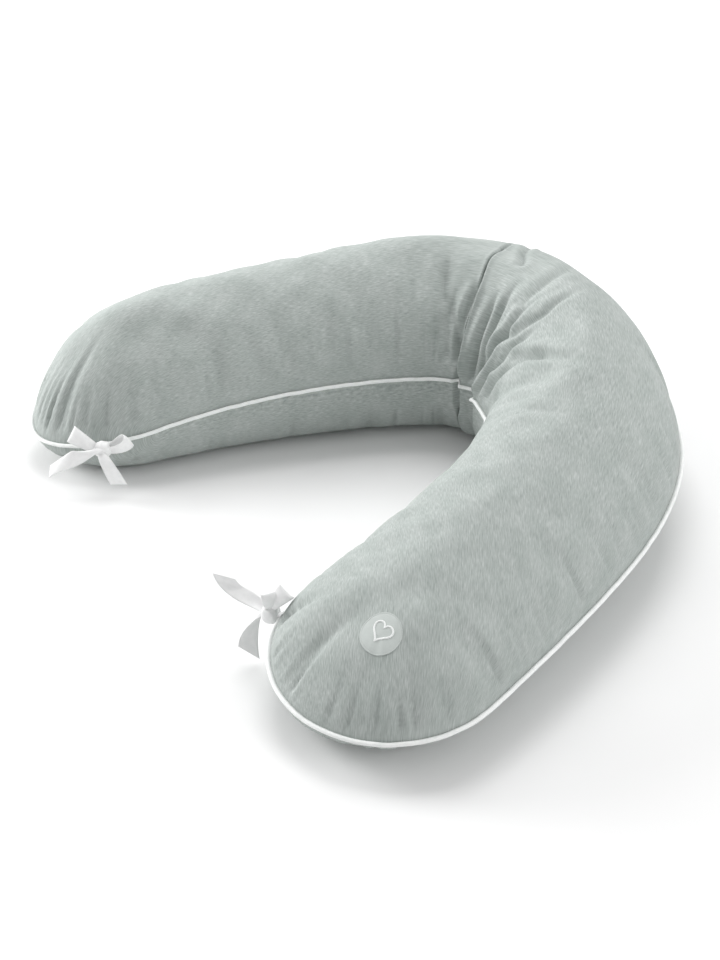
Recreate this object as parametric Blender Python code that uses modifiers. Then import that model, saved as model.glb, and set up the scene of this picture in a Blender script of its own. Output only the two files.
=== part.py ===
"""Nursing pillow: a long bead-filled bolster bent into a U, in a piped jersey cover with ribbon bows.

Metres, +Z up. The pillow lies on z = 0 with its mouth towards -Y: the left arm is at -X, the right
arm at +X, and the crease where it is bent is at +Y. Everything is laid out along the inner edge of
the pillow. A place on it is (s, t): s is the distance along the inner edge from the crease, minus on
the left arm, and t runs across, from -1 on the inner seam to +1 on the outer seam.
"""
import math

import bmesh
import bpy
import numpy as np
from mathutils import Matrix, Vector

# Plan of the pillow
LEFT_LENGTH = 0.610          # inner edge from the crease to the left tip
RIGHT_LENGTH = 0.755         # inner edge from the crease to the right tip
HALF_WIDTH = 0.137           # half the stuffed width
TIP_REACH = 0.141            # length of the rounded end of each arm
LEFT_CURVE = 0.67            # steady curvature of each arm, 1/m
RIGHT_CURVE = 0.49
CREASE_TURN = math.radians(73.0)
CREASE_LENGTH = 0.042        # how far along the edge the crease turn spreads
SWEEP_TURN = math.radians(50.0)
SWEEP_PLACE = 0.138          # the right arm's own gentle turn, past the crease
SWEEP_LENGTH = 0.148
FACING = math.radians(15.0)  # turns the mouth to -Y
LEFT_TIP_WIDEN = -0.14       # change of width towards each tip, as a share
RIGHT_TIP_WIDEN = 0.20
SHOULDER_WIDEN = 0.03        # extra width where the right arm leaves the crease
SHOULDER_PLACE = 0.13
SHOULDER_LENGTH = 0.18

# Section of the pillow
CROWN = 0.138                # height of the top over the seam
LEFT_TIP_CROWN = -0.06       # change of crown towards each tip and at the crease, as a share
RIGHT_TIP_CROWN = -0.45
CREASE_CROWN = 0.30
CREASE_CROWN_LENGTH = 0.20
CROWN_POWER = 1.7            # 2 is an ellipse, more is squarer
SEAM_INNER = 0.113           # height of the seam on each side, and at the tips
SEAM_OUTER_LEFT = 0.114
SEAM_OUTER_RIGHT = 0.090
SEAM_CHANGE = 0.30           # distance either side of the crease over which the outer seam drops
SEAM_TIP = 0.047
SEAM_TIP_POWER = 2.8         # how late the seam sinks along each arm
SEAM_ZIP_POWER = 6.0         # later on the left arm's outer side, where the zip needs a level seam
UNDER_POWER_INNER = 3.4
UNDER_POWER_OUTER = 1.8
FLAT_SHARE = 1.04            # how far the underside would bulge below the floor if it were free

# Cloth and fill
COVER_WALL = 0.0015
RIM_SPACE = 0.0007           # room for each panel's turned edge, past the piping's flange
LINER_WALL = 0.0010
TOUCH = 0.0004               # clearance between pieces that touch
LINER_EASE = 0.0021          # the liner's outside to the cover's outside, at the crown
LINER_SIDE = 0.0085          # and at the seam, past the cover's seam allowance
FILL_EASE = 0.0044           # the fill's outside to the cover's outside, at the crown
FILL_SIDE = 0.0110           # and at the seam
BEND_REACH = 0.10            # the bend's fill runs this far each side of the crease
BEND_GAP = 0.004             # space between the bend's fill and each arm's fill

# Piping
PIPING_RADIUS = 0.0030
PIPING_WALL = 0.0006
PIPING_FLANGE = 0.0050       # sewn flange, inwards from the seam line
SLEEVE_SIDES = 7             # how finely the sleeve's outside and inside are divided
CHANNEL_SIDES = 6
FLANGE_SLIT = 0.0003         # between the flange's two leaves

# Zip, on the left arm's outer side, just under the piping
ZIP_START = -0.38            # near the tip
ZIP_END = -0.14              # near the crease
ZIP_DROP = 0.0045            # from the seam down to the window's top edge
ZIP_RECESS = 0.0012          # the zip's middle plane, in from the seam's line
TAPE_HEIGHT = 0.0050
TAPE_WALL = 0.0006
COIL_RADIUS = 0.0008
COIL_SPACE = 0.0012          # between the two coils
SLIDER_LENGTH = 0.009
SLIDER_WALL = 0.0012
SLIDER_POST = 0.0006
PULL_LENGTH = 0.024
PULL_HEIGHT = 0.0050
PULL_WALL = 0.0014
PULL_END = 0.0009            # the pull's end past its pin
PULL_SWING = 0.0007          # room for that end over the slider's lug
STOP_SIZE = 0.0022
WINDOW_DEPTH = 0.012

# Care label, sewn in by the zip's end
LABEL_START = -0.105
LABEL_END = -0.092
LABEL_ROWS = (0.9985, 0.9700, 0.9150)  # places across, down from the seam
LABEL_WALL = 0.0005
LABEL_LIFT = 0.0012          # off the panel's outside

# Patch on the right arm
PATCH_PLACE = (0.665, 0.18)
PATCH_RADIUS = 0.027
PATCH_WALL = 0.0008
PATCH_LIFT = 0.0010          # the patch's stuffed seam, off the top panel
EMBLEM_SIZE = 0.0125
EMBLEM_WALL = 0.0006

# Bows
RIBBON_WIDTH = 0.026
RIBBON_PINCH = 0.5           # share of its width that the ribbon keeps where the knot gathers it
RIBBON_WALL = 0.0010
KNOT_SIZE = (0.015, 0.020, 0.022)
BOW_OFFSET = 0.019           # knot's centre, out from the seam
LEFT_BOW_PLACE = -0.545
RIGHT_BOW_PLACE = 0.658
ANCHOR_WIDTH = 0.011
LOOP_SPACE = 0.0040          # between a loop's two ends at the knot
# Directions below are out from the seam, along it towards the tip, and up. Each loop: the way it
# reaches, the way its width lies, its length and how far its two runs part.
LEFT_LOOPS = {
    "loop_a": ((0.05, 0.95, 0.30), (-0.43, -0.30, 0.85), 0.066, 0.013),
    "loop_b": ((0.15, -0.95, 0.15), (0.45, 0.10, 0.88), 0.056, 0.018),
}
RIGHT_LOOPS = {
    "loop_a": ((-0.42, -0.40, 0.80), (0.35, 0.80, 0.45), 0.058, 0.016),
    "loop_b": ((0.42, -0.75, 0.50), (0.83, 0.50, 0.08), 0.054, 0.012),
}
# Each tail: its route from the front of the knot, starting on its hinge, and the way its width lies
# at its free end.
LEVEL = (0.0, 1.0, 0.0)
LEFT_TAILS = {
    "tail_a": (((0, 0, 0.003), (0.016, 0.016, 0.010), (0.022, 0.050, -0.004), (0.014, 0.078, -0.028)),
               (-0.45, -0.40, 0.80)),
    "tail_b": (((0, 0, -0.003), (0.018, -0.006, -0.004), (0.022, -0.018, -0.024), (0.016, -0.024, -0.046)),
               (0.10, 1.00, 0.15)),
}
RIGHT_TAILS = {
    "tail_a": (((0, 0, 0.003), (0.026, 0, 0.008), (0.054, 0, -0.004), (0.064, 0, 0.024)), (0.95, 0.50, 0.0)),
    "tail_b": (((0, 0, -0.003), (0.016, 0.002, -0.006), (0.020, 0.016, -0.026), (0.014, 0.022, -0.052)),
               (0.80, 0.70, 0.0)),
}

# How finely the cloth is divided
TIP_COLUMNS = 3
ARM_COLUMNS = 12
ROWS = 12
LINER_ROWS = 6
CREASE_DENSITY = 2.2         # packs the columns towards the crease

# Colours, linear
JERSEY = (0.45, 0.50, 0.47)
WHITE = (0.80, 0.81, 0.80)
LINER_COLOUR = (0.74, 0.73, 0.70)
BEADS = (0.86, 0.86, 0.86)
ZIP_GREY = (0.42, 0.45, 0.44)
SILVER = (0.55, 0.56, 0.57)
PATCH_GREY = (0.55, 0.58, 0.56)


# ---------------------------------------------------------------- plan and section

def heading(s):
    """Direction of the inner edge at s: a steady curve, the crease's turn and the right arm's sweep."""
    curve = np.where(s < 0, LEFT_CURVE, RIGHT_CURVE) * s
    crease = 0.5 * CREASE_TURN * np.tanh(s / CREASE_LENGTH)
    sweep = np.tanh((s - SWEEP_PLACE) / SWEEP_LENGTH) + math.tanh(SWEEP_PLACE / SWEEP_LENGTH)
    return FACING - curve - crease - 0.5 * SWEEP_TURN * sweep


def trace_inner_edge(step=0.0005):
    """The inner edge as points: its heading added up in small steps both ways from the crease."""
    s = np.arange(-LEFT_LENGTH, RIGHT_LENGTH + step, step)
    middle = heading(s[:-1] + step / 2)
    x = np.concatenate([[0.0], np.cumsum(np.cos(middle)) * step])
    y = np.concatenate([[0.0], np.cumsum(np.sin(middle)) * step])
    return s, x - np.interp(0.0, s, x), y - np.interp(0.0, s, y)


EDGE_S, EDGE_X, EDGE_Y = trace_inner_edge()


def arm_share(s):
    """How far along its arm a place is: 0 at the crease, 1 at the tip."""
    return np.clip(np.abs(s) / np.where(s < 0, LEFT_LENGTH, RIGHT_LENGTH), 0.0, 1.0)


def plan(s, t, inset=0.0):
    """World x and y of the place (s, t) on a layer that lies inset from the cover's outside."""
    share = arm_share(s) ** 2
    widen = 1.0 + np.where(s < 0, LEFT_TIP_WIDEN, RIGHT_TIP_WIDEN) * share
    widen = widen + SHOULDER_WIDEN * np.exp(-((s - SHOULDER_PLACE) / SHOULDER_LENGTH) ** 2)
    out = HALF_WIDTH + t * (HALF_WIDTH * widen - inset)
    turn = heading(s)
    x = np.interp(s, EDGE_S, EDGE_X) - np.sin(turn) * out
    y = np.interp(s, EDGE_S, EDGE_Y) + np.cos(turn) * out
    return x, y


def side_share(t):
    """0 on the inner seam and 1 on the outer seam, easing between them."""
    return 0.5 * (1.0 + np.sin(0.5 * math.pi * np.clip(t, -1.0, 1.0)))


def seam_height(s, t):
    """Height of the seam's plane, which is lower on the outside and sinks towards the tips."""
    outer = np.interp(s, [-SEAM_CHANGE, SEAM_CHANGE], [SEAM_OUTER_LEFT, SEAM_OUTER_RIGHT])
    side = side_share(t)
    middle = SEAM_INNER * (1.0 - side) + outer * side
    power = SEAM_TIP_POWER + np.where(s < 0, SEAM_ZIP_POWER - SEAM_TIP_POWER, 0.0) * side
    return middle + (SEAM_TIP - middle) * arm_share(s) ** power


def top_height(s, t, rho, ease=0.0):
    """Top surface: a superellipse over the seam, where rho is 0 in the middle and 1 on the seam."""
    share = arm_share(s) ** 2
    swell = 1.0 + np.where(s < 0, LEFT_TIP_CROWN, RIGHT_TIP_CROWN) * share
    swell = swell + CREASE_CROWN * np.exp(-(s / CREASE_CROWN_LENGTH) ** 2)
    arch = (1.0 - np.clip(rho, 0.0, 1.0) ** CROWN_POWER) ** (1.0 / CROWN_POWER)
    return seam_height(s, t) + (CROWN * swell - ease) * arch


def under_height(s, t, rho, ease=0.0):
    """Underside: it curves down from the seam and lies flat on the floor in the middle."""
    power = UNDER_POWER_INNER + (UNDER_POWER_OUTER - UNDER_POWER_INNER) * side_share(t)
    drop = (1.0 - np.clip(rho, 0.0, 1.0) ** power) ** (1.0 / power)
    seam = seam_height(s, t)
    return seam - (seam - ease) * np.minimum(1.0, FLAT_SHARE * drop)


def tip_places(a, b, side, inset):
    """(s, t, rho) in a rounded tip, from a square a in 0..1, b in -1..1 bent into a half disc."""
    length = LEFT_LENGTH if side < 0 else RIGHT_LENGTH
    s = side * (length - TIP_REACH + (TIP_REACH - inset) * a * np.sqrt(1.0 - b ** 2 / 2))
    t = b * np.sqrt(1.0 - a ** 2 / 2)
    return s, t, np.sqrt(a ** 2 + b ** 2 - a ** 2 * b ** 2)


def rho_at(s, t):
    """rho of a place: across the pillow only on an arm's straight part, and round in its tip."""
    straight = np.where(s < 0, LEFT_LENGTH, RIGHT_LENGTH) - TIP_REACH
    past = np.maximum(np.abs(s) - straight, 0.0) / TIP_REACH
    return np.hypot(past, t)


def rim_point(s):
    """World point of the inner seam at s, which curves round in the tips."""
    s = np.array(s)
    t = -np.sqrt(np.maximum(1.0 - rho_at(s, 0.0) ** 2, 0.0))
    x, y = plan(s, t)
    return Vector((float(x), float(y), float(seam_height(s, t))))


def arm_place(g, side):
    """Station s on an arm's straight part, from g = 0 at the crease to 1 at the tip, denser at 0."""
    length = (LEFT_LENGTH if side < 0 else RIGHT_LENGTH) - TIP_REACH
    return side * length * np.sinh(CREASE_DENSITY * g) / math.sinh(CREASE_DENSITY)


def layer_places(columns, rows, inset):
    """(s, t, rho) for every point of a whole layer, columns from the left tip to the right tip."""
    b = np.sin(0.5 * math.pi * np.linspace(-1.0, 1.0, rows + 1))
    found = []
    for column in columns:
        side = -1.0 if column < 0 else 1.0
        past = abs(column) - ARM_COLUMNS
        if past > 0:
            a = math.sin(0.5 * math.pi * past / TIP_COLUMNS)
            found.append(tip_places(a, b, side, inset))
        else:
            s = np.full(rows + 1, arm_place(abs(column) / ARM_COLUMNS, side))
            found.append((s, b, np.abs(b)))
    return [np.stack([entry[k] for entry in found]) for k in range(3)]


ALL_COLUMNS = range(-ARM_COLUMNS - TIP_COLUMNS, ARM_COLUMNS + TIP_COLUMNS + 1)


# ---------------------------------------------------------------- helpers

def clear_scene():
    """Remove the objects of the scene that the script starts in."""
    for thing in list(bpy.data.objects):
        bpy.data.objects.remove(thing, do_unlink=True)


def make_collection(name):
    """A collection linked to the scene."""
    group = bpy.data.collections.new(name)
    bpy.context.scene.collection.children.link(group)
    return group


def make_material(name, colour, roughness=0.85, metallic=0.0):
    """A Principled material with one colour."""
    material = bpy.data.materials.new(name)
    material.use_nodes = True
    shader = material.node_tree.nodes["Principled BSDF"]
    shader.inputs["Base Color"].default_value = (*colour, 1.0)
    shader.inputs["Roughness"].default_value = roughness
    shader.inputs["Metallic"].default_value = metallic
    return material


def add_object(name, data, material, origin=(0.0, 0.0, 0.0)):
    """Put a mesh or curve in the pillow's collection, with its origin at a world point."""
    thing = bpy.data.objects.new(name, data)
    shift = Vector(origin)
    if shift.length > 0.0:
        data.transform(Matrix.Translation(-shift))
        thing.location = shift
    data.materials.append(material)
    PILLOW.objects.link(thing)
    return thing


def to_mesh(form, name, smooth=True):
    """Turn a bmesh into a mesh with its normals outwards."""
    data = bpy.data.meshes.new(name)
    form.to_mesh(data)
    form.free()
    if smooth:
        data.shade_smooth()
        data.set_sharp_from_angle(angle=math.radians(40.0))
    return data


def thicken(thing, wall, offset=-1.0):
    """Give an open surface its wall."""
    modifier = thing.modifiers.new("Wall", "SOLIDIFY")
    modifier.thickness = wall
    modifier.offset = offset
    modifier.use_even_offset = True
    return modifier


def face_out(form):
    """Turn all faces outwards."""
    form.normal_update()
    bmesh.ops.recalc_face_normals(form, faces=form.faces)


def grid_form(points):
    """A bmesh grid primitive whose vertices are moved to points[column, row]."""
    columns, rows = points.shape[0] - 1, points.shape[1] - 1
    form = bmesh.new()
    bmesh.ops.create_grid(form, x_segments=columns, y_segments=rows, size=1.0)
    for vertex in form.verts:
        column = round((vertex.co.x + 1.0) * 0.5 * columns)
        row = round((vertex.co.y + 1.0) * 0.5 * rows)
        vertex.co = points[column, row]
    return form


def surface_points(places, height, inset, ease, lift):
    """World points of a layer: its plan and its height, moved off the seam's plane by lift there."""
    s, t, rho = places
    x, y = plan(s, t, inset)
    z = height(s, t, rho, ease) + lift * rho ** 2
    floor = ease if height is under_height else 0.0
    return np.stack([x, y, np.maximum(z, floor)], axis=-1)


# ---------------------------------------------------------------- cover, liner and fill

def make_panel(name, material, height, rows, inset, ease, lift, wall):
    """One sewn panel of the cover or the liner: a domed grid with a wall on its inner side."""
    points = surface_points(layer_places(ALL_COLUMNS, rows, inset), height, inset, ease, lift)
    form = grid_form(points)
    if height is under_height:
        bmesh.ops.reverse_faces(form, faces=form.faces)
    panel = add_object(name, to_mesh(form, name), material)
    thicken(panel, wall)
    return panel


def fill_form(columns, stations):
    """A closed body of filling over some columns, whose cut ends stand at the given stations."""
    places = layer_places(columns, LINER_ROWS, FILL_SIDE)
    for column, station in stations.items():
        places[0][column] = station
    top = grid_form(surface_points(places, top_height, FILL_SIDE, FILL_EASE, 0.0))
    under = grid_form(surface_points(places, under_height, FILL_SIDE, FILL_EASE, 0.0))
    bmesh.ops.reverse_faces(under, faces=under.faces)
    spare = bpy.data.meshes.new("spare")
    under.to_mesh(spare)
    under.free()
    top.from_mesh(spare)
    bpy.data.meshes.remove(spare)
    bmesh.ops.remove_doubles(top, verts=top.verts, dist=1e-6)
    bmesh.ops.holes_fill(top, edges=[edge for edge in top.edges if edge.is_boundary], sides=0)
    face_out(top)
    return top


def bend_columns():
    """Number of columns each side of the crease that the bend's filling takes up."""
    stations = [abs(arm_place(k / ARM_COLUMNS, 1.0)) for k in range(ARM_COLUMNS + 1)]
    return sum(1 for station in stations if station < BEND_REACH)


def make_fills(material):
    """The filling: one firm body in each arm and a soft one between them in the bend."""
    near = bend_columns()
    last = ARM_COLUMNS + TIP_COLUMNS
    arm_end = BEND_REACH + BEND_GAP
    pieces = (
        ("left_fill", range(-last, -near + 1), {-1: -arm_end}),
        ("bend_fill", range(-near, near + 1), {0: -BEND_REACH, -1: BEND_REACH}),
        ("right_fill", range(near, last + 1), {0: arm_end}),
    )
    for name, columns, stations in pieces:
        add_object(name, to_mesh(fill_form(columns, stations), name), material)


# ---------------------------------------------------------------- piping

def rim_path(inset=0.0):
    """The seam line round the whole pillow, as points and their outward directions in plan."""
    s, t, rho = layer_places(ALL_COLUMNS, ROWS, inset)
    x, y = plan(s, t, inset)
    points = np.stack([x, y, seam_height(s, t)], axis=-1)
    ring = np.concatenate([points[:, 0], points[-1, 1:], points[-2::-1, -1], points[0, -2:0:-1]])
    along = np.roll(ring, -1, axis=0) - np.roll(ring, 1, axis=0)
    outward = np.stack([along[:, 1], -along[:, 0], np.zeros(len(ring))], axis=-1)
    return ring, outward / np.linalg.norm(outward, axis=1, keepdims=True)


def poly_curve(name, points, cyclic):
    """A curve with one straight-edged spline through the points."""
    data = bpy.data.curves.new(name, "CURVE")
    data.dimensions = "3D"
    data.twist_mode = "Z_UP"
    spline = data.splines.new("POLY")
    spline.points.add(len(points) - 1)
    for point, place in zip(spline.points, points):
        point.co = (*place, 1.0)
    spline.use_cyclic_u = cyclic
    return data


def piping_profile():
    """Section of the piping's sleeve: a round wall, open to a flange of two leaves towards -X."""
    outer, inner = PIPING_RADIUS, PIPING_RADIUS - PIPING_WALL
    half_slit = FLANGE_SLIT / 2
    half_flange = half_slit + PIPING_WALL
    root = PIPING_RADIUS + TOUCH + PIPING_FLANGE
    start = math.asin(half_flange / outer)
    outer_arc = [start + (2 * math.pi - 2 * start) * k / SLEEVE_SIDES for k in range(SLEEVE_SIDES + 1)]
    start = math.asin(half_slit / inner)
    inner_arc = [start + (2 * math.pi - 2 * start) * k / CHANNEL_SIDES for k in range(CHANNEL_SIDES + 1)]
    points = [(-root, half_slit), (-root, half_flange)]
    points += [(-outer * math.cos(angle), outer * math.sin(angle)) for angle in outer_arc]
    points += [(-root, -half_flange), (-root, -half_slit)]
    points += [(-inner * math.cos(angle), inner * math.sin(angle)) for angle in reversed(inner_arc)]
    return points


def make_piping(sleeve_material, core_material):
    """The cord round the seam and the bias strip folded over it, whose flange is sewn in."""
    ring, outward = rim_path()
    path = ring + outward * (PIPING_RADIUS + TOUCH)
    core = poly_curve("piping_core", path, cyclic=True)
    core.bevel_depth = (PIPING_RADIUS - PIPING_WALL) * math.cos(math.pi / CHANNEL_SIDES) - TOUCH
    core.bevel_resolution = 1
    add_object("piping_core", core, core_material)
    section = poly_curve("piping_section", [(x, y, 0.0) for x, y in piping_profile()], cyclic=True)
    guide = bpy.data.objects.new("piping_section", section)
    guide.hide_render = True
    guide.display_type = "WIRE"
    CUTTERS.objects.link(guide)
    sleeve = poly_curve("piping_sleeve", path, cyclic=True)
    sleeve.bevel_mode = "OBJECT"
    sleeve.bevel_object = guide
    add_object("piping_sleeve", sleeve, sleeve_material)


# ---------------------------------------------------------------- zip and label

class Arc:
    """The zip's line: the level circle through three places on the outer seam, as low as the lowest."""

    def __init__(self, start, end):
        stations = np.array([start, 0.5 * (start + end), end])
        x, y = plan(stations, np.ones(3))
        z = np.full(3, seam_height(stations, np.ones(3)).min())
        first, middle, last = (Vector(place) for place in zip(x, y, z))
        a, b = middle - first, last - first
        cross = a.cross(b)
        across = (b.cross(cross) * a.length_squared + cross.cross(a) * b.length_squared)
        self.centre = first + across / (2.0 * cross.length_squared)
        self.up = cross.normalized() * math.copysign(1.0, cross.z)
        self.radius = (first - self.centre).length
        self.first = (first - self.centre).normalized()
        self.side = self.up.cross(self.first)
        reach = last - self.centre
        self.span = math.atan2(reach.dot(self.side), reach.dot(self.first))

    def point(self, angle, out, rise):
        """World point at an angle from the start, a distance outside the circle and a rise over it."""
        ray = self.first * math.cos(angle) + self.side * math.sin(angle)
        return self.centre + ray * (self.radius + out) + self.up * rise

    def turn(self, length):
        """Angle that a length along the circle takes up, the way the zip closes."""
        return math.copysign(length / self.radius, self.span)


def turn_outwards(form, centre):
    """Make an open sheet's faces look away from a point."""
    form.normal_update()
    outward = sum(face.normal.dot(face.calc_center_median() - centre) for face in form.faces)
    if outward < 0.0:
        bmesh.ops.reverse_faces(form, faces=form.faces)


def arc_strip(name, arc, material, span, rises, out, wall, columns=10):
    """A band that stands on the zip's circle, from its outside inwards."""
    angles = np.linspace(span[0], span[1], columns + 1)
    points = np.array([[arc.point(angle, out, rise) for rise in rises] for angle in angles])
    form = grid_form(points)
    turn_outwards(form, arc.centre)
    strip = add_object(name, to_mesh(form, name), material)
    thicken(strip, wall)
    return strip


def arc_coil(name, arc, material, span, rise):
    """One coil of the zip: a thin cord along the circle."""
    angles = np.linspace(span[0], span[1], 11)
    places = [arc.point(angle, -ZIP_RECESS, rise) for angle in angles]
    data = poly_curve(name, places, cyclic=False)
    data.bevel_depth = COIL_RADIUS
    data.bevel_resolution = 1
    data.use_fill_caps = True
    return add_object(name, data, material)


def arc_box(name, arc, material, angle, length, rises, outs):
    """A small block on the zip's circle: its length along it, its range of rise and of reach."""
    form = bmesh.new()
    bmesh.ops.create_cube(form, size=1.0)
    for vertex in form.verts:
        out = outs[0] + (vertex.co.y + 0.5) * (outs[1] - outs[0]) - ZIP_RECESS
        rise = rises[0] + (vertex.co.z + 0.5) * (rises[1] - rises[0])
        vertex.co = arc.point(angle + vertex.co.x * arc.turn(length), out, rise)
    face_out(form)
    return add_object(name, to_mesh(form, name, smooth=False), material)


def unite(base, others):
    """Join blocks that overlap into one solid."""
    for other in others:
        modifier = base.modifiers.new("Join", "BOOLEAN")
        modifier.operation = "UNION"
        modifier.solver = "EXACT"
        modifier.object = other
        hide_as_cutter(other)


def hide_as_cutter(thing):
    """Move an object to the cutters' collection, out of the model."""
    PILLOW.objects.unlink(thing)
    CUTTERS.objects.link(thing)
    thing.hide_render = True
    thing.display_type = "WIRE"


def make_zip(arc, under_panel, cloth, metal):
    """The closed zip in its window: two tapes, two coils, stops, the slider and its pull."""
    coil_rise = COIL_SPACE / 2 + COIL_RADIUS
    half = coil_rise + COIL_RADIUS + TOUCH + TAPE_HEIGHT
    middle = -ZIP_DROP - TOUCH - half
    edges = (middle - half - TOUCH, middle + half + TOUCH)
    depth = WINDOW_DEPTH / 2
    window = arc_strip("zip_window", arc, cloth, (0.0, arc.span), edges, depth, WINDOW_DEPTH)
    hide_as_cutter(window)
    cut = under_panel.modifiers.new("Zip window", "BOOLEAN")
    cut.operation = "DIFFERENCE"
    cut.solver = "EXACT"
    cut.object = window

    within = (arc.turn(TOUCH), arc.span - arc.turn(TOUCH))
    stop_room = arc.turn(STOP_SIZE + 2 * TOUCH)
    coil_span = (within[0] + stop_room, within[1] - stop_room)
    stop_outs = (-STOP_SIZE / 2, STOP_SIZE / 2)
    for name, way in (("upper", 1.0), ("lower", -1.0)):
        rise = middle + way * coil_rise
        tape = sorted((middle + way * (half - TAPE_HEIGHT), middle + way * half))
        arc_strip(f"zip_tape_{name}", arc, cloth, within, tape, TAPE_WALL / 2 - ZIP_RECESS, TAPE_WALL)
        arc_coil(f"zip_coil_{name}", arc, cloth, coil_span, rise)
        arc_box(f"zip_top_stop_{name}", arc, metal, within[1] - stop_room / 2, STOP_SIZE,
                (rise - COIL_RADIUS, rise + COIL_RADIUS), stop_outs)
    reach = coil_rise + COIL_RADIUS
    arc_box("zip_bottom_stop", arc, metal, within[0] + stop_room / 2, STOP_SIZE,
            (middle - reach, middle + reach), stop_outs)
    make_slider(arc, middle, coil_span[1] - arc.turn(SLIDER_LENGTH / 2 + TOUCH), metal)


def make_slider(arc, middle, angle, metal):
    """The slider, two plates joined by a post between the coils, and the pull hinged on it."""
    half = COIL_SPACE / 2 + 2 * COIL_RADIUS + TOUCH + SLIDER_WALL
    near = COIL_RADIUS + TOUCH
    far = near + SLIDER_WALL
    lap = SLIDER_WALL / 2
    lug_reach = far + PULL_WALL
    lug_half = PULL_HEIGHT / 2 - SLIDER_WALL - TOUCH
    rises = (middle - half, middle + half)
    outer = arc_box("zip_slider", arc, metal, angle, SLIDER_LENGTH, rises, (near, far))
    inner = arc_box("slider_inner", arc, metal, angle, SLIDER_LENGTH, rises, (-far, -near))
    post = arc_box("slider_post", arc, metal, angle, SLIDER_LENGTH / 3,
                   (middle - SLIDER_POST / 2, middle + SLIDER_POST / 2), (-near - lap, near + lap))
    lug = arc_box("slider_lug", arc, metal, angle, SLIDER_LENGTH / 4,
                  (middle - lug_half, middle + lug_half), (near + lap, lug_reach))
    unite(outer, (inner, post, lug))
    set_origin(outer, arc.centre)
    outs = (lug_reach + PULL_SWING, lug_reach + PULL_SWING + PULL_WALL)
    away = arc.turn(PULL_LENGTH / 2 - PULL_END)
    pull = arc_box("zip_pull", arc, metal, angle - away, PULL_LENGTH,
                   (middle - PULL_HEIGHT / 2, middle + PULL_HEIGHT / 2), outs)
    set_origin(pull, arc.point(angle, sum(outs) / 2 - ZIP_RECESS, middle))


def set_origin(thing, place):
    """Move an object's origin to a world point without moving its shape."""
    shift = Vector(place) - thing.location
    thing.data.transform(Matrix.Translation(-shift))
    thing.location = place


def make_label(cloth):
    """The care label: a small folded ribbon that hangs from the outer seam beside the zip."""
    stations = np.linspace(LABEL_START, LABEL_END, 4)
    s, t = np.meshgrid(stations, LABEL_ROWS, indexing="ij")
    x, y = plan(s, t)
    turn = heading(s)
    lift = LABEL_WALL + LABEL_LIFT
    points = np.stack([x - np.sin(turn) * lift, y + np.cos(turn) * lift, under_height(s, t, t)], axis=-1)
    form = grid_form(points)
    bmesh.ops.reverse_faces(form, faces=form.faces)
    label = add_object("care_label", to_mesh(form, "care_label"), cloth)
    thicken(label, LABEL_WALL)


# ---------------------------------------------------------------- patch

def patch_point(u, v, lift):
    """A point over the top panel at a distance u along and v across from the patch's centre."""
    s = np.array(PATCH_PLACE[0] + u)
    t = np.array(PATCH_PLACE[1] + v / HALF_WIDTH)
    x, y = plan(s, t)
    z = top_height(s, t, rho_at(s, t))
    return float(x), float(y), float(z) + lift


def make_disc(name, material, outline, rings, lift, wall):
    """A thin flat badge that follows the top panel, from an outline scaled down ring by ring."""
    count = len(outline)
    form = bmesh.new()
    bmesh.ops.create_circle(form, cap_ends=True, cap_tris=True, segments=count, radius=1.0)
    spokes = [edge for edge in form.edges if not edge.is_boundary]
    bmesh.ops.subdivide_edges(form, edges=spokes, cuts=rings - 1, use_grid_fill=True)
    for vertex in form.verts:
        reach = vertex.co.xy.length
        angle = math.atan2(vertex.co.y, vertex.co.x) % (2 * math.pi)
        u, v = outline_at(outline, angle)
        vertex.co = patch_point(u * reach, v * reach, lift)
    face_out(form)
    form.normal_update()
    if sum(face.normal.z for face in form.faces) < 0.0:
        bmesh.ops.reverse_faces(form, faces=form.faces)
    badge = add_object(name, to_mesh(form, name), material)
    thicken(badge, wall, offset=1.0)
    return badge


def outline_at(outline, angle):
    """The outline's point at an angle of its parameter."""
    step = 2 * math.pi / len(outline)
    return outline[round(angle / step) % len(outline)]


def heart_outline(size, count):
    """A plain heart: x = 16 sin^3, y = 13 cos - 5 cos 2 - 2 cos 3 - cos 4, scaled to a half width."""
    points = []
    for k in range(count):
        a = 2 * math.pi * k / count
        x = 16 * math.sin(a) ** 3
        y = 13 * math.cos(a) - 5 * math.cos(2 * a) - 2 * math.cos(3 * a) - math.cos(4 * a)
        points.append((y * size / 16, x * size / 16))
    return points


def make_patch(cloth, thread):
    """The round badge on the right arm, with a small embroidered heart."""
    circle = [(PATCH_RADIUS * math.cos(2 * math.pi * k / 20), PATCH_RADIUS * math.sin(2 * math.pi * k / 20))
              for k in range(20)]
    make_disc("round_patch", cloth, circle, 3, PATCH_LIFT, PATCH_WALL)
    lift = PATCH_LIFT + PATCH_WALL + TOUCH
    make_disc("patch_emblem", thread, heart_outline(EMBLEM_SIZE, 20), 2, lift, EMBLEM_WALL)


# ---------------------------------------------------------------- bows

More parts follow.
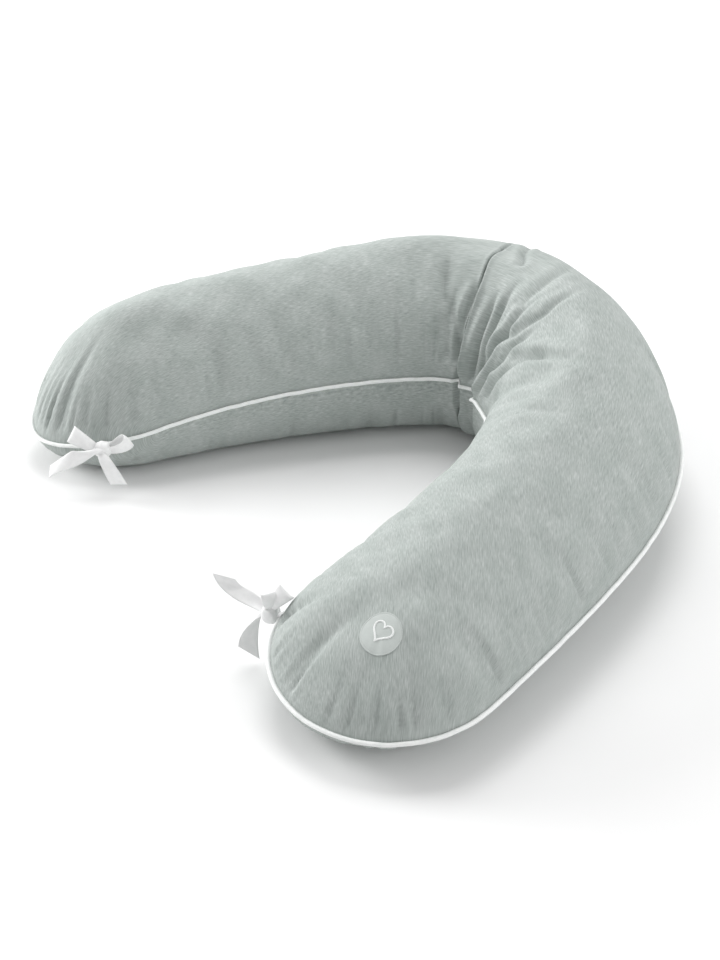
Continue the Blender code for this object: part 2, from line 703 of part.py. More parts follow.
class Bow:
    """A ribbon bow beside the inner seam. Its frame is out from the seam, along it, and up."""

    def __init__(self, name, station):
        side = math.copysign(1.0, station)
        way = rim_point(station + side * 0.002) - rim_point(station - side * 0.002)
        self.name = name
        self.along = Vector((way.x, way.y, 0.0)).normalized()
        self.out = self.along.cross(Vector((0.0, 0.0, side)))
        self.knot = rim_point(station) + self.out * BOW_OFFSET

    def point(self, out, along, up):
        """World point from distances in the bow's frame, counted from the knot's centre."""
        return self.knot + self.out * out + self.along * along + Vector((0.0, 0.0, up))

    def ribbon(self, part, route, across, width, material, steps=8, hinge=None):
        """A flat ribbon along a route, its width given and turned along it by across and width."""
        rows = []
        for k in range(steps + 1):
            share = k / steps
            way = self.point(*across(share)) - self.knot
            side = way.normalized() * (width(share) / 2)
            middle = self.point(*bezier(route, share))
            rows.append([middle - side, middle + side])
        thing = add_object(f"{self.name}_{part}", to_mesh(grid_form(np.array(rows)), part), material)
        thicken(thing, RIBBON_WALL, offset=0.0)
        if hinge is not None:
            set_origin(thing, self.point(*hinge))
        return thing


def gathered(share):
    """Ribbon width at a share of the way from where the knot gathers it, 0, to where it is flat, 1."""
    return RIBBON_WIDTH * (RIBBON_PINCH + (1.0 - RIBBON_PINCH) * math.sin(0.5 * math.pi * share))


def bezier(points, share):
    """Point of the Bezier curve on its control points, by repeated interpolation."""
    level = [Vector(point) for point in points]
    while len(level) > 1:
        level = [a.lerp(b, share) for a, b in zip(level[:-1], level[1:])]
    return level[0]


def make_knot(bow, cloth):
    """The bow's knot: a block with rounded edges."""
    form = bmesh.new()
    bmesh.ops.create_cube(form, size=1.0)
    for vertex in form.verts:
        vertex.co = bow.point(*(co * size for co, size in zip(vertex.co, KNOT_SIZE)))
    face_out(form)
    knot = add_object(f"{bow.name}_knot", to_mesh(form, "knot"), cloth)
    round_off = knot.modifiers.new("Round", "BEVEL")
    round_off.width = 0.3 * min(KNOT_SIZE)
    round_off.segments = 2


def make_bow(bow, loops, tails, cloth):
    """Anchor, knot, two loops and two tails."""
    make_knot(bow, cloth)
    gap = RIBBON_WALL / 2 + TOUCH
    front = KNOT_SIZE[0] / 2 + gap
    seam_out = -BOW_OFFSET + 2 * PIPING_RADIUS + TOUCH / 2
    bow.ribbon("anchor", ((seam_out, 0, 0), (-KNOT_SIZE[0] / 2 - TOUCH, 0, 0)), lambda share: LEVEL,
               lambda share: ANCHOR_WIDTH, cloth, steps=1)
    for part, (reach, across, length, spread) in loops.items():
        reach, across = Vector(reach).normalized(), Vector(across).normalized()
        normal, distance = knot_face(reach)
        flat = (across - normal * across.dot(normal)).normalized()
        across = (across - reach * across.dot(reach)).normalized()
        start, aside = normal * (distance + gap), normal.cross(flat) * LOOP_SPACE / 2
        tip, apart = reach * length, reach.cross(across) * spread
        route = (start + aside, tip + apart, tip * 1.15 - apart, start - aside)
        bow.ribbon(part, route, lambda share: flat.lerp(across, loop_share(share)),
                   lambda share: gathered(loop_share(share)), cloth, steps=12)
    for part, (route, turned) in tails.items():
        places = [(out + front, along, up) for out, along, up in route]
        bow.ribbon(part, places, lambda share: Vector(LEVEL).lerp(Vector(turned), share * share * (3 - 2 * share)),
                   gathered, cloth, hinge=places[0])


def loop_share(share):
    """0 where either end of a loop meets the knot, 1 at its far end."""
    return 1.0 - abs(2.0 * share - 1.0)


def knot_face(reach):
    """The knot's face that a loop leaves through: its normal and its distance from the knot's centre."""
    axis = max(range(3), key=lambda k: abs(reach[k]) / KNOT_SIZE[k])
    normal = Vector((0.0, 0.0, 0.0))
    normal[axis] = math.copysign(1.0, reach[axis])
    return normal, KNOT_SIZE[axis] / 2


# ---------------------------------------------------------------- whole pillow

def centre_on_origin():
    """Slide the pillow in plan until its bounding box is centred over the origin."""
    bpy.context.view_layer.update()
    graph = bpy.context.evaluated_depsgraph_get()
    low, high = Vector((1e9, 1e9)), Vector((-1e9, -1e9))
    for thing in PILLOW.objects:
        shape = thing.evaluated_get(graph)
        mesh = shape.to_mesh()
        for vertex in mesh.vertices:
            place = (shape.matrix_world @ vertex.co).xy
            low = Vector(map(min, low, place))
            high = Vector(map(max, high, place))
        shape.to_mesh_clear()
    shift = (low + high) / 2
    for thing in list(PILLOW.objects) + list(CUTTERS.objects):
        thing.location.x -= shift.x
        thing.location.y -= shift.y


def build_pillow():
    """Make every piece of the pillow."""
    jersey = make_material("grey melange jersey", JERSEY, 0.9)
    white = make_material("white cotton", WHITE, 0.8)
    liner = make_material("unbleached cotton", LINER_COLOUR, 0.9)
    beads = make_material("polystyrene beads", BEADS, 0.7)
    zip_cloth = make_material("grey zip tape", ZIP_GREY, 0.7)
    metal = make_material("zinc slider", SILVER, 0.35, 1.0)
    badge = make_material("pale grey badge", PATCH_GREY, 0.8)

    rim = PIPING_WALL + FLANGE_SLIT / 2 + TOUCH + RIM_SPACE
    liner_rim = TOUCH + RIM_SPACE
    make_panel("cover_top_panel", jersey, top_height, ROWS, 0.0, 0.0, rim, COVER_WALL)
    under = make_panel("cover_bottom_panel", jersey, under_height, ROWS, 0.0, 0.0, -rim, COVER_WALL)
    make_panel("liner_top_panel", liner, top_height, LINER_ROWS, LINER_SIDE, LINER_EASE, liner_rim,
               LINER_WALL)
    make_panel("liner_bottom_panel", liner, under_height, LINER_ROWS, LINER_SIDE, LINER_EASE, -liner_rim,
               LINER_WALL)
    make_fills(beads)
    make_piping(white, white)
    make_zip(Arc(ZIP_START, ZIP_END), under, zip_cloth, metal)
    make_label(white)
    make_patch(badge, white)
    make_bow(Bow("left", LEFT_BOW_PLACE), LEFT_LOOPS, LEFT_TAILS, white)
    make_bow(Bow("right", RIGHT_BOW_PLACE), RIGHT_LOOPS, RIGHT_TAILS, white)
    centre_on_origin()


clear_scene()
PILLOW = make_collection("nursing_pillow")
CUTTERS = make_collection("cutters")
build_pillow()
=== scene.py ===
"""Looks of a nursing pillow: a bead-filled bolster bent into a U, in a piped melange jersey cover.

Metres, +Z up. Every shape is laid out along the inner edge of the pillow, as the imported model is. A
place on it is (s, t): s is the distance along the inner edge from the crease, minus on the left arm,
and t runs across, from -1 on the inner seam to +1 on the outer seam.
"""
import logging
import math
from dataclasses import dataclass
from enum import Enum
from typing import Callable, Optional, Sequence

import bmesh
import bpy
import numpy as np
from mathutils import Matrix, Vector


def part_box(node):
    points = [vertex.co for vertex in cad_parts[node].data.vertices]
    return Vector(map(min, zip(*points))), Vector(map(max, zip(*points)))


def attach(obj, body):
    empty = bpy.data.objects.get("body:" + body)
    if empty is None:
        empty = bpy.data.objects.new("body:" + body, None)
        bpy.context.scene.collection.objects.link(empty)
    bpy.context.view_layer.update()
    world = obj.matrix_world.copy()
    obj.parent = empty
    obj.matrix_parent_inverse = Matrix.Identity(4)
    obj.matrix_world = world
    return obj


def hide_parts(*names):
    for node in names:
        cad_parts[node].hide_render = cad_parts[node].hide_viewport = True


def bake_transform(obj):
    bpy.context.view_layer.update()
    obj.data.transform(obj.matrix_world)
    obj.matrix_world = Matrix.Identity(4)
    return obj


LOG = logging.getLogger("nursing_pillow")
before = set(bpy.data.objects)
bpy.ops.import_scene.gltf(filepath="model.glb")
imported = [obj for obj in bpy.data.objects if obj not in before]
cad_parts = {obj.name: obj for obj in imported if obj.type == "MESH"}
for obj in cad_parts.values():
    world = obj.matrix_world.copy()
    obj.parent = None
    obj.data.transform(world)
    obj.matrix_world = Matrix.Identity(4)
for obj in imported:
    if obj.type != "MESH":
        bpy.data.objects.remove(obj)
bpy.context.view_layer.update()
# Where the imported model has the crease's inner point, and its bending axis.
CREASE_PLACE = (-0.055725, 0.174386)
# Scale at which a wave texture has one band to a unit of its coordinates.
ONE_BAND = math.pi / 10.0
Array = np.ndarray


class Panel(Enum):
    """The two sewn halves of the cover, the liner and the filling."""

    TOP = "top"
    UNDER = "under"


class Weave(Enum):
    """How a ribbon or strip of cloth is woven."""

    TWILL = "twill"
    SATIN = "satin"


# ---------------------------------------------------------------- meshes

def smooth_step(value: Array, low: float, high: float) -> Array:
    """Ease from 0 at low to 1 at high, as 3x^2 - 2x^3.

    Args:
        value: What is eased.
        low: Where the result is 0.
        high: Where the result is 1.

    Returns:
        The eased share, of the shape of value.
    """
    x = np.clip((value - low) / (high - low), 0.0, 1.0)
    return x * x * (3.0 - 2.0 * x)


def unit(vectors: Array) -> Array:
    """Vectors scaled to length one along their last axis.

    Args:
        vectors: Array whose last axis holds x, y and z.

    Returns:
        The unit vectors.
    """
    return vectors / np.maximum(np.linalg.norm(vectors, axis=-1, keepdims=True), 1e-12)


def ripple(place: Array, spans: Sequence[float], seed: int) -> Array:
    """A smooth irregular wave: equal sines of the given wavelengths with seeded phases, added up.

    Args:
        place: Distance along which it varies, in metres.
        spans: Wavelengths in metres.
        seed: Seed of the phases.

    Returns:
        Values of about -1 to 1.
    """
    phases = np.random.default_rng(seed).uniform(0.0, 2.0 * math.pi, len(spans))
    waves = [np.sin(2.0 * math.pi * place / span + phase) for span, phase in zip(spans, phases)]
    return sum(waves) / math.sqrt(len(spans))


def signed_power(value: Array, power: float) -> Array:
    """A power of each value's size, with the value's own sign."""
    return np.sign(value) * np.abs(value) ** power


def grid_faces(columns: int, rows: int, round_columns: bool = False, round_rows: bool = False) -> Array:
    """Corner numbers of the quads of a grid of points.

    Args:
        columns: Points along the first parameter.
        rows: Points along the second parameter.
        round_columns: Whether the last column joins the first.
        round_rows: Whether the last row joins the first.

    Returns:
        One row of four point numbers for each quad.
    """
    i = np.arange(columns if round_columns else columns - 1)
    j = np.arange(rows if round_rows else rows - 1)
    i, j = (part.ravel() for part in np.meshgrid(i, j, indexing="ij"))
    far_i, far_j = (i + 1) % columns, (j + 1) % rows
    return np.stack([i * rows + j, far_i * rows + j, far_i * rows + far_j, i * rows + far_j], axis=1)


def make_piece(name: str, points: Array, faces: Array, material: bpy.types.Material,
               uv: Optional[Array] = None) -> bpy.types.Object:
    """Put a mesh into the scene, with its object at the origin.

    Args:
        name: Name of the piece.
        points: Points, in metres.
        faces: Point numbers of each face, three or four to a row.
        material: Its material.
        uv: Place of each point on the cloth, in metres, if it has one.

    Returns:
        The new object.
    """
    points = np.ascontiguousarray(points.reshape(-1, 3), dtype=np.float32)
    sides = faces.shape[1]
    data = bpy.data.meshes.new(name)
    data.vertices.add(len(points))
    data.vertices.foreach_set("co", points.ravel())
    data.loops.add(faces.size)
    data.loops.foreach_set("vertex_index", faces.ravel().astype(np.int32))
    data.polygons.add(len(faces))
    data.polygons.foreach_set("loop_start", np.arange(0, faces.size, sides, dtype=np.int32))
    data.update(calc_edges=True)
    data.validate()
    if uv is not None:
        layer = data.uv_layers.new(name="Cloth")
        layer.data.foreach_set("uv", uv.reshape(-1, 2)[faces.ravel()].astype(np.float32).ravel())
    data.shade_smooth()
    data.materials.append(material)
    thing = bpy.data.objects.new(name, data)
    bpy.context.scene.collection.objects.link(thing)
    return thing


def grid_piece(name: str, points: Array, material: bpy.types.Material, uv: Optional[Array] = None,
               flip: bool = False, round_columns: bool = False,
               round_rows: bool = False) -> bpy.types.Object:
    """A piece from a grid of points.

    Args:
        name: Name of the piece.
        points: Points by column and row.
        material: Its material.
        uv: Place of each point on the cloth, by column and row.
        flip: Whether the faces are turned over.
        round_columns: Whether the last column joins the first.
        round_rows: Whether the last row joins the first.

    Returns:
        The new object.
    """
    faces = grid_faces(points.shape[0], points.shape[1], round_columns, round_rows)
    return make_piece(name, points, faces[:, ::-1] if flip else faces, material, uv)


def capped_tube(name: str, rings: Array, material: bpy.types.Material) -> bpy.types.Object:
    """A closed piece from rings of points, with a fan of quads folded to the middle of each end ring.

    Args:
        name: Name of the piece.
        rings: Points by ring and by place round it.
        material: Its material.

    Returns:
        The new object.
    """
    first = np.broadcast_to(rings[:1].mean(axis=1, keepdims=True), (1,) + rings.shape[1:])
    last = np.broadcast_to(rings[-1:].mean(axis=1, keepdims=True), (1,) + rings.shape[1:])
    piece = grid_piece(name, np.concatenate([first, rings, last]), material, round_rows=True)
    weld_and_face_out(piece)
    return piece


def weld_and_face_out(piece: bpy.types.Object) -> None:
    """Merge a closed piece's coincident points and turn its faces outwards.

    Args:
        piece: The piece.
    """
    form = bmesh.new()
    form.from_mesh(piece.data)
    bmesh.ops.remove_doubles(form, verts=form.verts, dist=1e-7)
    bmesh.ops.dissolve_degenerate(form, edges=form.edges, dist=1e-8)
    form.normal_update()
    bmesh.ops.recalc_face_normals(form, faces=form.faces)
    if form.calc_volume(signed=True) < 0.0:
        bmesh.ops.reverse_faces(form, faces=form.faces)
    form.to_mesh(piece.data)
    form.free()
    piece.data.shade_smooth()


def thicken(piece: bpy.types.Object, wall: float) -> None:
    """Give an open surface its wall, half on each side.

    Args:
        piece: The piece.
        wall: Thickness in metres.
    """
    modifier = piece.modifiers.new("Wall", "SOLIDIFY")
    modifier.thickness = wall
    modifier.offset = 0.0
    modifier.use_even_offset = False


def map_by_place(piece: bpy.types.Object) -> None:
    """Give a piece a cloth map from its points' places: height, and x and y added up.

    Args:
        piece: The piece.
    """
    data = piece.data
    place = np.zeros(len(data.vertices) * 3)
    data.vertices.foreach_get("co", place)
    corner = np.zeros(len(data.loops), np.int32)
    data.loops.foreach_get("vertex_index", corner)
    place = place.reshape(-1, 3)[corner]
    flat = np.stack([place[:, 2], place[:, 0] + place[:, 1]], 1).astype(np.float32)
    data.uv_layers.new(name="Cloth").data.foreach_set("uv", flat.ravel())


def bezier(points: Sequence[Sequence[float]], share: Array) -> Array:
    """Points of a cubic Bezier curve, from its four control points weighted by the cubic's terms.

    Args:
        points: The four control points.
        share: Shares of the way along it.

    Returns:
        The points, with x, y and z on a new last axis.
    """
    a, b, c, d = (np.array(point, float) for point in points)
    u = share[..., None]
    return (1 - u) ** 3 * a + 3 * u * (1 - u) ** 2 * b + 3 * u ** 2 * (1 - u) * c + u ** 3 * d


# ---------------------------------------------------------------- the bolster's shape

@dataclass(frozen=True)
class Fold:
    """A crease in the top panel, along a route of places (s, t) that starts where it is deepest."""

    route: tuple[tuple[float, float], ...]
    depth: float
    width: float
    fade: float = 0.55
    lip: float = 0.30
    panel: Panel = Panel.TOP
    closing: float = 0.0

    def trace(self, bolster: "Bolster", steps: int = 90) -> Array:
        """Points along the crease on its smooth panel.

        Args:
            bolster: The pillow's shape.
            steps: How many points.

        Returns:
            The points.
        """
        route = np.array(self.route)
        knots = np.linspace(0.0, 1.0, len(route))
        share = np.linspace(0.0, 1.0, steps)
        s, t = (np.interp(share, knots, route[:, k]) for k in range(2))
        kernel = np.hanning(13) / np.hanning(13).sum()
        s, t = (np.convolve(np.pad(value, 6, mode="edge"), kernel, mode="valid") for value in (s, t))
        return bolster.base(self.panel, s, t)

    def shape(self, bolster: "Bolster", points: Array) -> tuple[Array, Array]:
        """What the crease does to each point: a pointed groove with a soft lip on each side.

        With d the distance from the crease over its width, the groove is exp(-d^1.3) and the lip
        exp(-(d - 2.4)^2 / 1.6) times its share, both fading along the crease. A closing crease also
        draws its two sides together, by its share of the distance times exp(-(d / 4)^2).

        Args:
            bolster: The pillow's shape.
            points: Points of the smooth panel.

        Returns:
            Metres along the panel's normal, minus where it goes down, and the sideways shift.
        """
        trace = self.trace(bolster)
        flat = points.reshape(-1, 3)
        reach = 6.0 * self.width
        low, high = trace.min(axis=0) - reach, trace.max(axis=0) + reach
        near = np.all((flat > low) & (flat < high), axis=1)
        result, shift = np.zeros(len(flat)), np.zeros(flat.shape)
        if near.any():
            gap = np.linalg.norm(flat[near][:, None, :] - trace[None], axis=2)
            nearest = gap.argmin(axis=1)
            distance = gap[np.arange(len(gap)), nearest] / self.width
            share = nearest / (len(trace) - 1)
            taper = smooth_step(share, 1.0, self.fade)
            groove = np.exp(-distance ** 1.3) - self.lip * np.exp(-(distance - 2.4) ** 2 / 1.6)
            result[near] = -self.depth * taper * groove
            drawn = self.closing * taper * np.exp(-(distance / 4.0) ** 2)
            shift[near] = (trace[nearest] - flat[near]) * drawn[:, None]
        return result.reshape(points.shape[:-1]), shift.reshape(points.shape)


@dataclass(frozen=True)
class Bolster:
    """Plan and section of the stuffed pillow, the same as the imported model's, and its cloth's creases."""

    origin: tuple[float, float]
    left_length: float = 0.610
    right_length: float = 0.755
    half_width: float = 0.137
    tip_reach: float = 0.141
    left_curve: float = 0.67
    right_curve: float = 0.49
    crease_turn: float = math.radians(73.0)
    crease_length: float = 0.042
    sweep_turn: float = math.radians(50.0)
    sweep_place: float = 0.138
    sweep_length: float = 0.148
    facing: float = math.radians(15.0)
    left_tip_widen: float = -0.14
    right_tip_widen: float = 0.20
    shoulder_widen: float = 0.03
    shoulder_place: float = 0.13
    shoulder_length: float = 0.18
    crown: float = 0.138
    left_tip_crown: float = -0.06
    right_tip_crown: float = -0.45
    crease_crown: float = 0.30
    crease_crown_length: float = 0.20
    crown_power: float = 1.7
    seam_inner: float = 0.113
    seam_outer_left: float = 0.114
    seam_outer_right: float = 0.090
    seam_change: float = 0.30
    seam_tip: float = 0.047
    seam_tip_power: float = 2.8
    seam_zip_power: float = 6.0
    under_power_inner: float = 3.4
    under_power_outer: float = 1.8
    flat_share: float = 1.04
    # How far the seam is drawn in by the pleats of the inner corner: stations and distances.
    pleat_places: tuple[float, ...] = (-0.030, -0.012, -0.004, 0.003, 0.012, 0.022, 0.032, 0.038, 0.046,
                                       0.058, 0.068, 0.090, 0.110, 0.128, 0.150, 0.185)
    pleat_pulls: tuple[float, ...] = (0.0, 0.001, 0.012, -0.002, 0.001, 0.006, 0.012, 0.017, 0.013,
                                      -0.009, -0.006, -0.003, 0.001, 0.006, 0.005, 0.0)
    folds: tuple[Fold, ...] = (
        Fold(((-0.0025, -1.0), (-0.0035, -0.85), (-0.0045, -0.55), (-0.006, -0.30), (-0.005, -0.05),
              (-0.004, 0.25), (-0.002, 0.6)), 0.0130, 0.0024, 0.45, 0.16, closing=0.8),
        Fold(((-0.009, -0.97), (-0.0105, -0.80), (-0.008, -0.62), (-0.006, -0.45)), 0.007, 0.0045),
        Fold(((-0.023, -0.96), (-0.027, -0.83), (-0.025, -0.70), (-0.019, -0.52)), 0.0045, 0.0075),
        Fold(((-0.039, -0.90), (-0.038, -0.70), (-0.034, -0.40), (-0.03, -0.2)), 0.0028, 0.009),
        Fold(((0.0175, -0.99), (0.019, -0.91), (0.0165, -0.75), (0.0125, -0.50)), 0.008, 0.0050),
        Fold(((0.034, -0.99), (0.033, -0.90), (0.030, -0.76), (0.026, -0.55), (0.023, -0.32)), 0.006, 0.0055),
        Fold(((0.046, -0.99), (0.050, -0.91), (0.059, -0.76), (0.058, -0.50), (0.056, -0.15)), 0.0085,
             0.0055, 0.4),
        Fold(((0.074, -0.99), (0.081, -0.90), (0.094, -0.74), (0.100, -0.62), (0.104, -0.45)), 0.007, 0.006),
        Fold(((0.102, -0.97), (0.118, -0.87), (0.135, -0.68), (0.156, -0.46), (0.175, -0.22)), 0.006, 0.0075),
        Fold(((0.150, -0.95), (0.175, -0.80), (0.195, -0.55), (0.215, -0.27)), 0.0035, 0.011),
        Fold(((0.240, -0.80), (0.252, -0.62), (0.262, -0.42), (0.282, -0.20)), 0.0028, 0.012),
        Fold(((0.050, -0.50), (0.042, -0.25), (0.034, 0.05), (0.028, 0.25)), 0.0035, 0.008),
        Fold(((0.012, -0.20), (0.006, 0.0), (0.003, 0.2), (0.0, 0.4)), 0.004, 0.005),
        Fold(((0.0924, -0.871), (0.1064, -0.775), (0.1353, -0.615), (0.161, -0.434), (0.177, -0.202),
              (0.177, 0.122)), 0.0045, 0.0060, 0.5),
        Fold(((0.1465, -0.482), (0.1722, -0.294), (0.1898, -0.058), (0.193, 0.166)), 0.0028, 0.0070),
        Fold(((0.0564, -0.795), (0.0816, -0.663), (0.0852, -0.406), (0.0751, -0.246), (0.0697, -0.058),
              (0.0481, 0.302)), 0.0045, 0.0055, 0.5),
        Fold(((0.2139, -0.783), (0.2283, -0.583), (0.2412, -0.334), (0.254, -0.074)), 0.0026, 0.0085),
        Fold(((0.2813, -0.511), (0.27, -0.374), (0.2684, -0.162), (0.2668, 0.102)), 0.0022, 0.0090),
        Fold(((-0.0338, -0.699), (-0.0371, -0.539), (-0.0367, -0.342)), 0.0022, 0.0075),
        Fold(((-0.0064, -0.939), (-0.0136, -0.899), (-0.0219, -0.783), (-0.0244, -0.635)), 0.0050, 0.0050),
        Fold(((-0.1565, -0.795), (-0.1548, -0.539), (-0.1548, -0.118)), 0.0020, 0.0090, 0.3),
        Fold(((-0.2696, -0.931), (-0.2726, -0.80), (-0.2760, -0.62)), 0.0018, 0.0090),
        Fold(((-0.310, -0.93), (-0.316, -0.78), (-0.330, -0.50)), 0.0020, 0.0100),
        Fold(((-0.370, -0.93), (-0.372, -0.80), (-0.376, -0.62)), 0.0020, 0.0095),
        Fold(((-0.205, -0.90), (-0.195, -0.72), (-0.185, -0.45)), 0.0020, 0.0110),
        Fold(((-0.003, -0.98), (-0.004, -0.85), (-0.004, -0.70)), 0.0120, 0.0024, 0.3, 0.15, Panel.UNDER,
             0.7),
        Fold(((-0.028, -0.98), (-0.030, -0.80), (-0.030, -0.62)), 0.0022, 0.0070, 0.3, 0.3, Panel.UNDER),
        Fold(((0.030, -0.98), (0.031, -0.85), (0.032, -0.70)), 0.0070, 0.0035, 0.3, 0.2, Panel.UNDER),
        Fold(((-0.120, -0.97), (-0.135, -0.85), (-0.150, -0.70)), 0.0020, 0.0110, 0.4, 0.3, Panel.UNDER),
        Fold(((-0.260, -0.97), (-0.255, -0.85), (-0.245, -0.70)), 0.0018, 0.0120, 0.4, 0.3, Panel.UNDER),
    )
    fold_gain: float = 1.6
    fold_limit: float = 0.022
    short_gathers: tuple[float, ...] = (0.0145, 0.0195, 0.027, 0.041)
    long_gathers: tuple[float, ...] = (0.055, 0.083, 0.117)
    gather_depth: float = 0.0030
    slow_swell: float = 0.0026
    quick_swell: float = 0.0014
    cloth_half_width: float = 0.135
    grain_turn: float = 0.85
    grain_turn_place: float = 0.30
    grain_turn_ease: float = 0.06

    def heading(self, s: Array) -> Array:
        """Direction of the inner edge: a steady curve, the crease's turn and the right arm's sweep.

        Args:
            s: Stations.

        Returns:
            Radians from +X.
        """
        curve = np.where(s < 0, self.left_curve, self.right_curve) * s
        crease = 0.5 * self.crease_turn * np.tanh(s / self.crease_length)
        sweep = np.tanh((s - self.sweep_place) / self.sweep_length)
        sweep = sweep + math.tanh(self.sweep_place / self.sweep_length)
        return self.facing - curve - crease - 0.5 * self.sweep_turn * sweep

    def edge(self, s: Array, step: float = 0.0005) -> tuple[Array, Array]:
        """Points of the inner edge: its heading added up in small steps both ways from the crease.

        Args:
            s: Stations.
            step: Step of the sum.

        Returns:
            x and y, counted from the crease.
        """
        way = np.arange(-self.left_length, self.right_length + step, step)
        middle = self.heading(way[:-1] + step / 2)
        x = np.concatenate([[0.0], np.cumsum(np.cos(middle)) * step])
        y = np.concatenate([[0.0], np.cumsum(np.sin(middle)) * step])
        x, y = x - np.interp(0.0, way, x), y - np.interp(0.0, way, y)
        return np.interp(s, way, x), np.interp(s, way, y)

    def share(self, s: Array) -> Array:
        """How far along its arm a station is, from 0 at the crease to 1 at the tip."""
        return np.clip(np.abs(s) / np.where(s < 0, self.left_length, self.right_length), 0.0, 1.0)

    def side(self, t: Array) -> Array:
        """0 on the inner seam and 1 on the outer seam, easing between them."""
        return 0.5 * (1.0 + np.sin(0.5 * math.pi * np.clip(t, -1.0, 1.0)))

    def straight(self, s: Array) -> Array:
        """Length of a station's arm up to where its tip starts to round."""
        return np.where(s < 0, self.left_length, self.right_length) - self.tip_reach

    def past(self, s: Array) -> Array:
        """How far a station is into its rounded tip, from 0 where it begins to 1 at the end."""
        return np.maximum(np.abs(s) - self.straight(s), 0.0) / self.tip_reach

    def rho(self, s: Array, t: Array) -> Array:
        """How far out a place is, from 0 on the arm's middle line to 1 on the seam."""
        return np.hypot(self.past(s), t)

    def plan(self, s: Array, t: Array, inset: float = 0.0) -> tuple[Array, Array]:
        """World x and y of places on a layer that lies inset from the cover's outside.

        Args:
            s: Stations.
            t: Places across.
            inset: How far inside the cover's seam the layer's seam lies.

        Returns:
            x and y.
        """
        share = self.share(s) ** 2
        widen = 1.0 + np.where(s < 0, self.left_tip_widen, self.right_tip_widen) * share
        widen = widen + self.shoulder_widen * np.exp(-((s - self.shoulder_place) / self.shoulder_length) ** 2)
        out = self.half_width + t * (self.half_width * widen - inset)
        turn = self.heading(s)
        x, y = self.edge(s)
        return x - np.sin(turn) * out + self.origin[0], y + np.cos(turn) * out + self.origin[1]

    def seam_height(self, s: Array, t: Array) -> Array:
        """Height of the seam's plane, which is lower on the outside and sinks towards the tips.

        Args:
            s: Stations.
            t: Places across.

        Returns:
            Heights.
        """
        outer = np.interp(s, [-self.seam_change, self.seam_change],
                          [self.seam_outer_left, self.seam_outer_right])
        side = self.side(t)
        middle = self.seam_inner * (1.0 - side) + outer * side
        power = self.seam_tip_power + np.where(s < 0, self.seam_zip_power - self.seam_tip_power, 0.0) * side
        return middle + (self.seam_tip - middle) * self.share(s) ** power

    def height(self, panel: Panel, s: Array, t: Array, ease: float = 0.0) -> Array:
        """Height of the smooth surface: a superellipse over the seam, or under it and flat on the floor.

        Args:
            panel: Top or under.
            s: Stations.
            t: Places across.
            ease: How far inside the cover the layer lies at the crown.

        Returns:
            Heights.
        """
        seam = self.seam_height(s, t)
        rho = np.clip(self.rho(s, t), 0.0, 1.0)
        if panel is Panel.TOP:
            swell = 1.0 + np.where(s < 0, self.left_tip_crown, self.right_tip_crown) * self.share(s) ** 2
            swell = swell + self.crease_crown * np.exp(-(s / self.crease_crown_length) ** 2)
            dome = (1.0 - rho ** self.crown_power) ** (1.0 / self.crown_power)
            return seam + (self.crown * swell - ease) * dome
        power = self.under_power_inner + (self.under_power_outer - self.under_power_inner) * self.side(t)
        drop = (1.0 - rho ** power) ** (1.0 / power)
        return seam - (seam - ease) * np.minimum(1.0, self.flat_share * drop)

    def base(self, panel: Panel, s: Array, t: Array, inset: float = 0.0, ease: float = 0.0) -> Array:
        """Points of the smooth surface, before any crease.

        Args:
            panel: Top or under.
            s: Stations.
            t: Places across.
            inset: How far inside the cover's seam the layer's seam lies.
            ease: How far inside the cover it lies at the crown.

        Returns:
            World points.
        """
        x, y = self.plan(s, t, inset)
        return np.stack([x, y, self.height(panel, s, t, ease)], axis=-1)

    def normal(self, panel: Panel, s: Array, t: Array, step: float = 0.0015) -> Array:
        """Outward normals: the cross product of the surface's differences along and across.

        Args:
            panel: Top or under.
            s: Stations.
            t: Places across.
            step: Half the span of each difference.

        Returns:
            Unit vectors.
        """
        across = step / self.half_width
        along = self.base(panel, s + step, t) - self.base(panel, s - step, t)
        over = self.base(panel, s, t + across) - self.base(panel, s, t - across)
        return unit(np.cross(along, over)) * (1.0 if panel is Panel.TOP else -1.0)

    def pleat(self, s: Array) -> Array:
        """How far the pleats of the inner corner draw the seam in, eased between their stations.

        Args:
            s: Stations.

        Returns:
            Distances in metres.
        """
        fine = np.arange(self.pleat_places[0] - 0.02, self.pleat_places[-1] + 0.02, 0.0005)
        pull = np.interp(fine, self.pleat_places, self.pleat_pulls)
        kernel = np.hanning(11) / np.hanning(11).sum()
        return np.interp(s, fine, np.convolve(pull, kernel, mode="same"), left=0.0, right=0.0)

    def drawn(self, panel: Panel, s: Array, t: Array) -> Array:
        """Shift of each point by the pleats: inwards in plan, all of it on the inner seam.

        Args:
            panel: Top or under.
            s: Stations.
            t: Places across.

        Returns:
            Shifts in metres.
        """
        rho = self.rho(s, t)
        held = smooth_step(rho, 0.86, 1.0) if panel is Panel.TOP else smooth_step(rho, 0.55, 0.86)
        turn = self.heading(s)
        pull = self.pleat(s) * held * smooth_step(t, 0.0, -0.6)
        drop = -0.004 * smooth_step(s, -0.004, 0.002) * smooth_step(s, 0.075, 0.045) * held * (t < 0)
        return np.stack([-np.sin(turn) * pull, np.cos(turn) * pull, drop], axis=-1)

    def rim_place(self, s: Array, t: Array) -> Array:
        """Distance along the nearer seam, which carries on round the rounded tips.

        Args:
            s: Stations.
            t: Places across.

        Returns:
            Metres from the crease, minus on the left arm.
        """
        round_tip = self.tip_reach * np.arctan2(self.past(s), np.maximum(np.abs(t), 1e-6))
        return np.sign(s) * (np.minimum(np.abs(s), self.straight(s)) + round_tip)

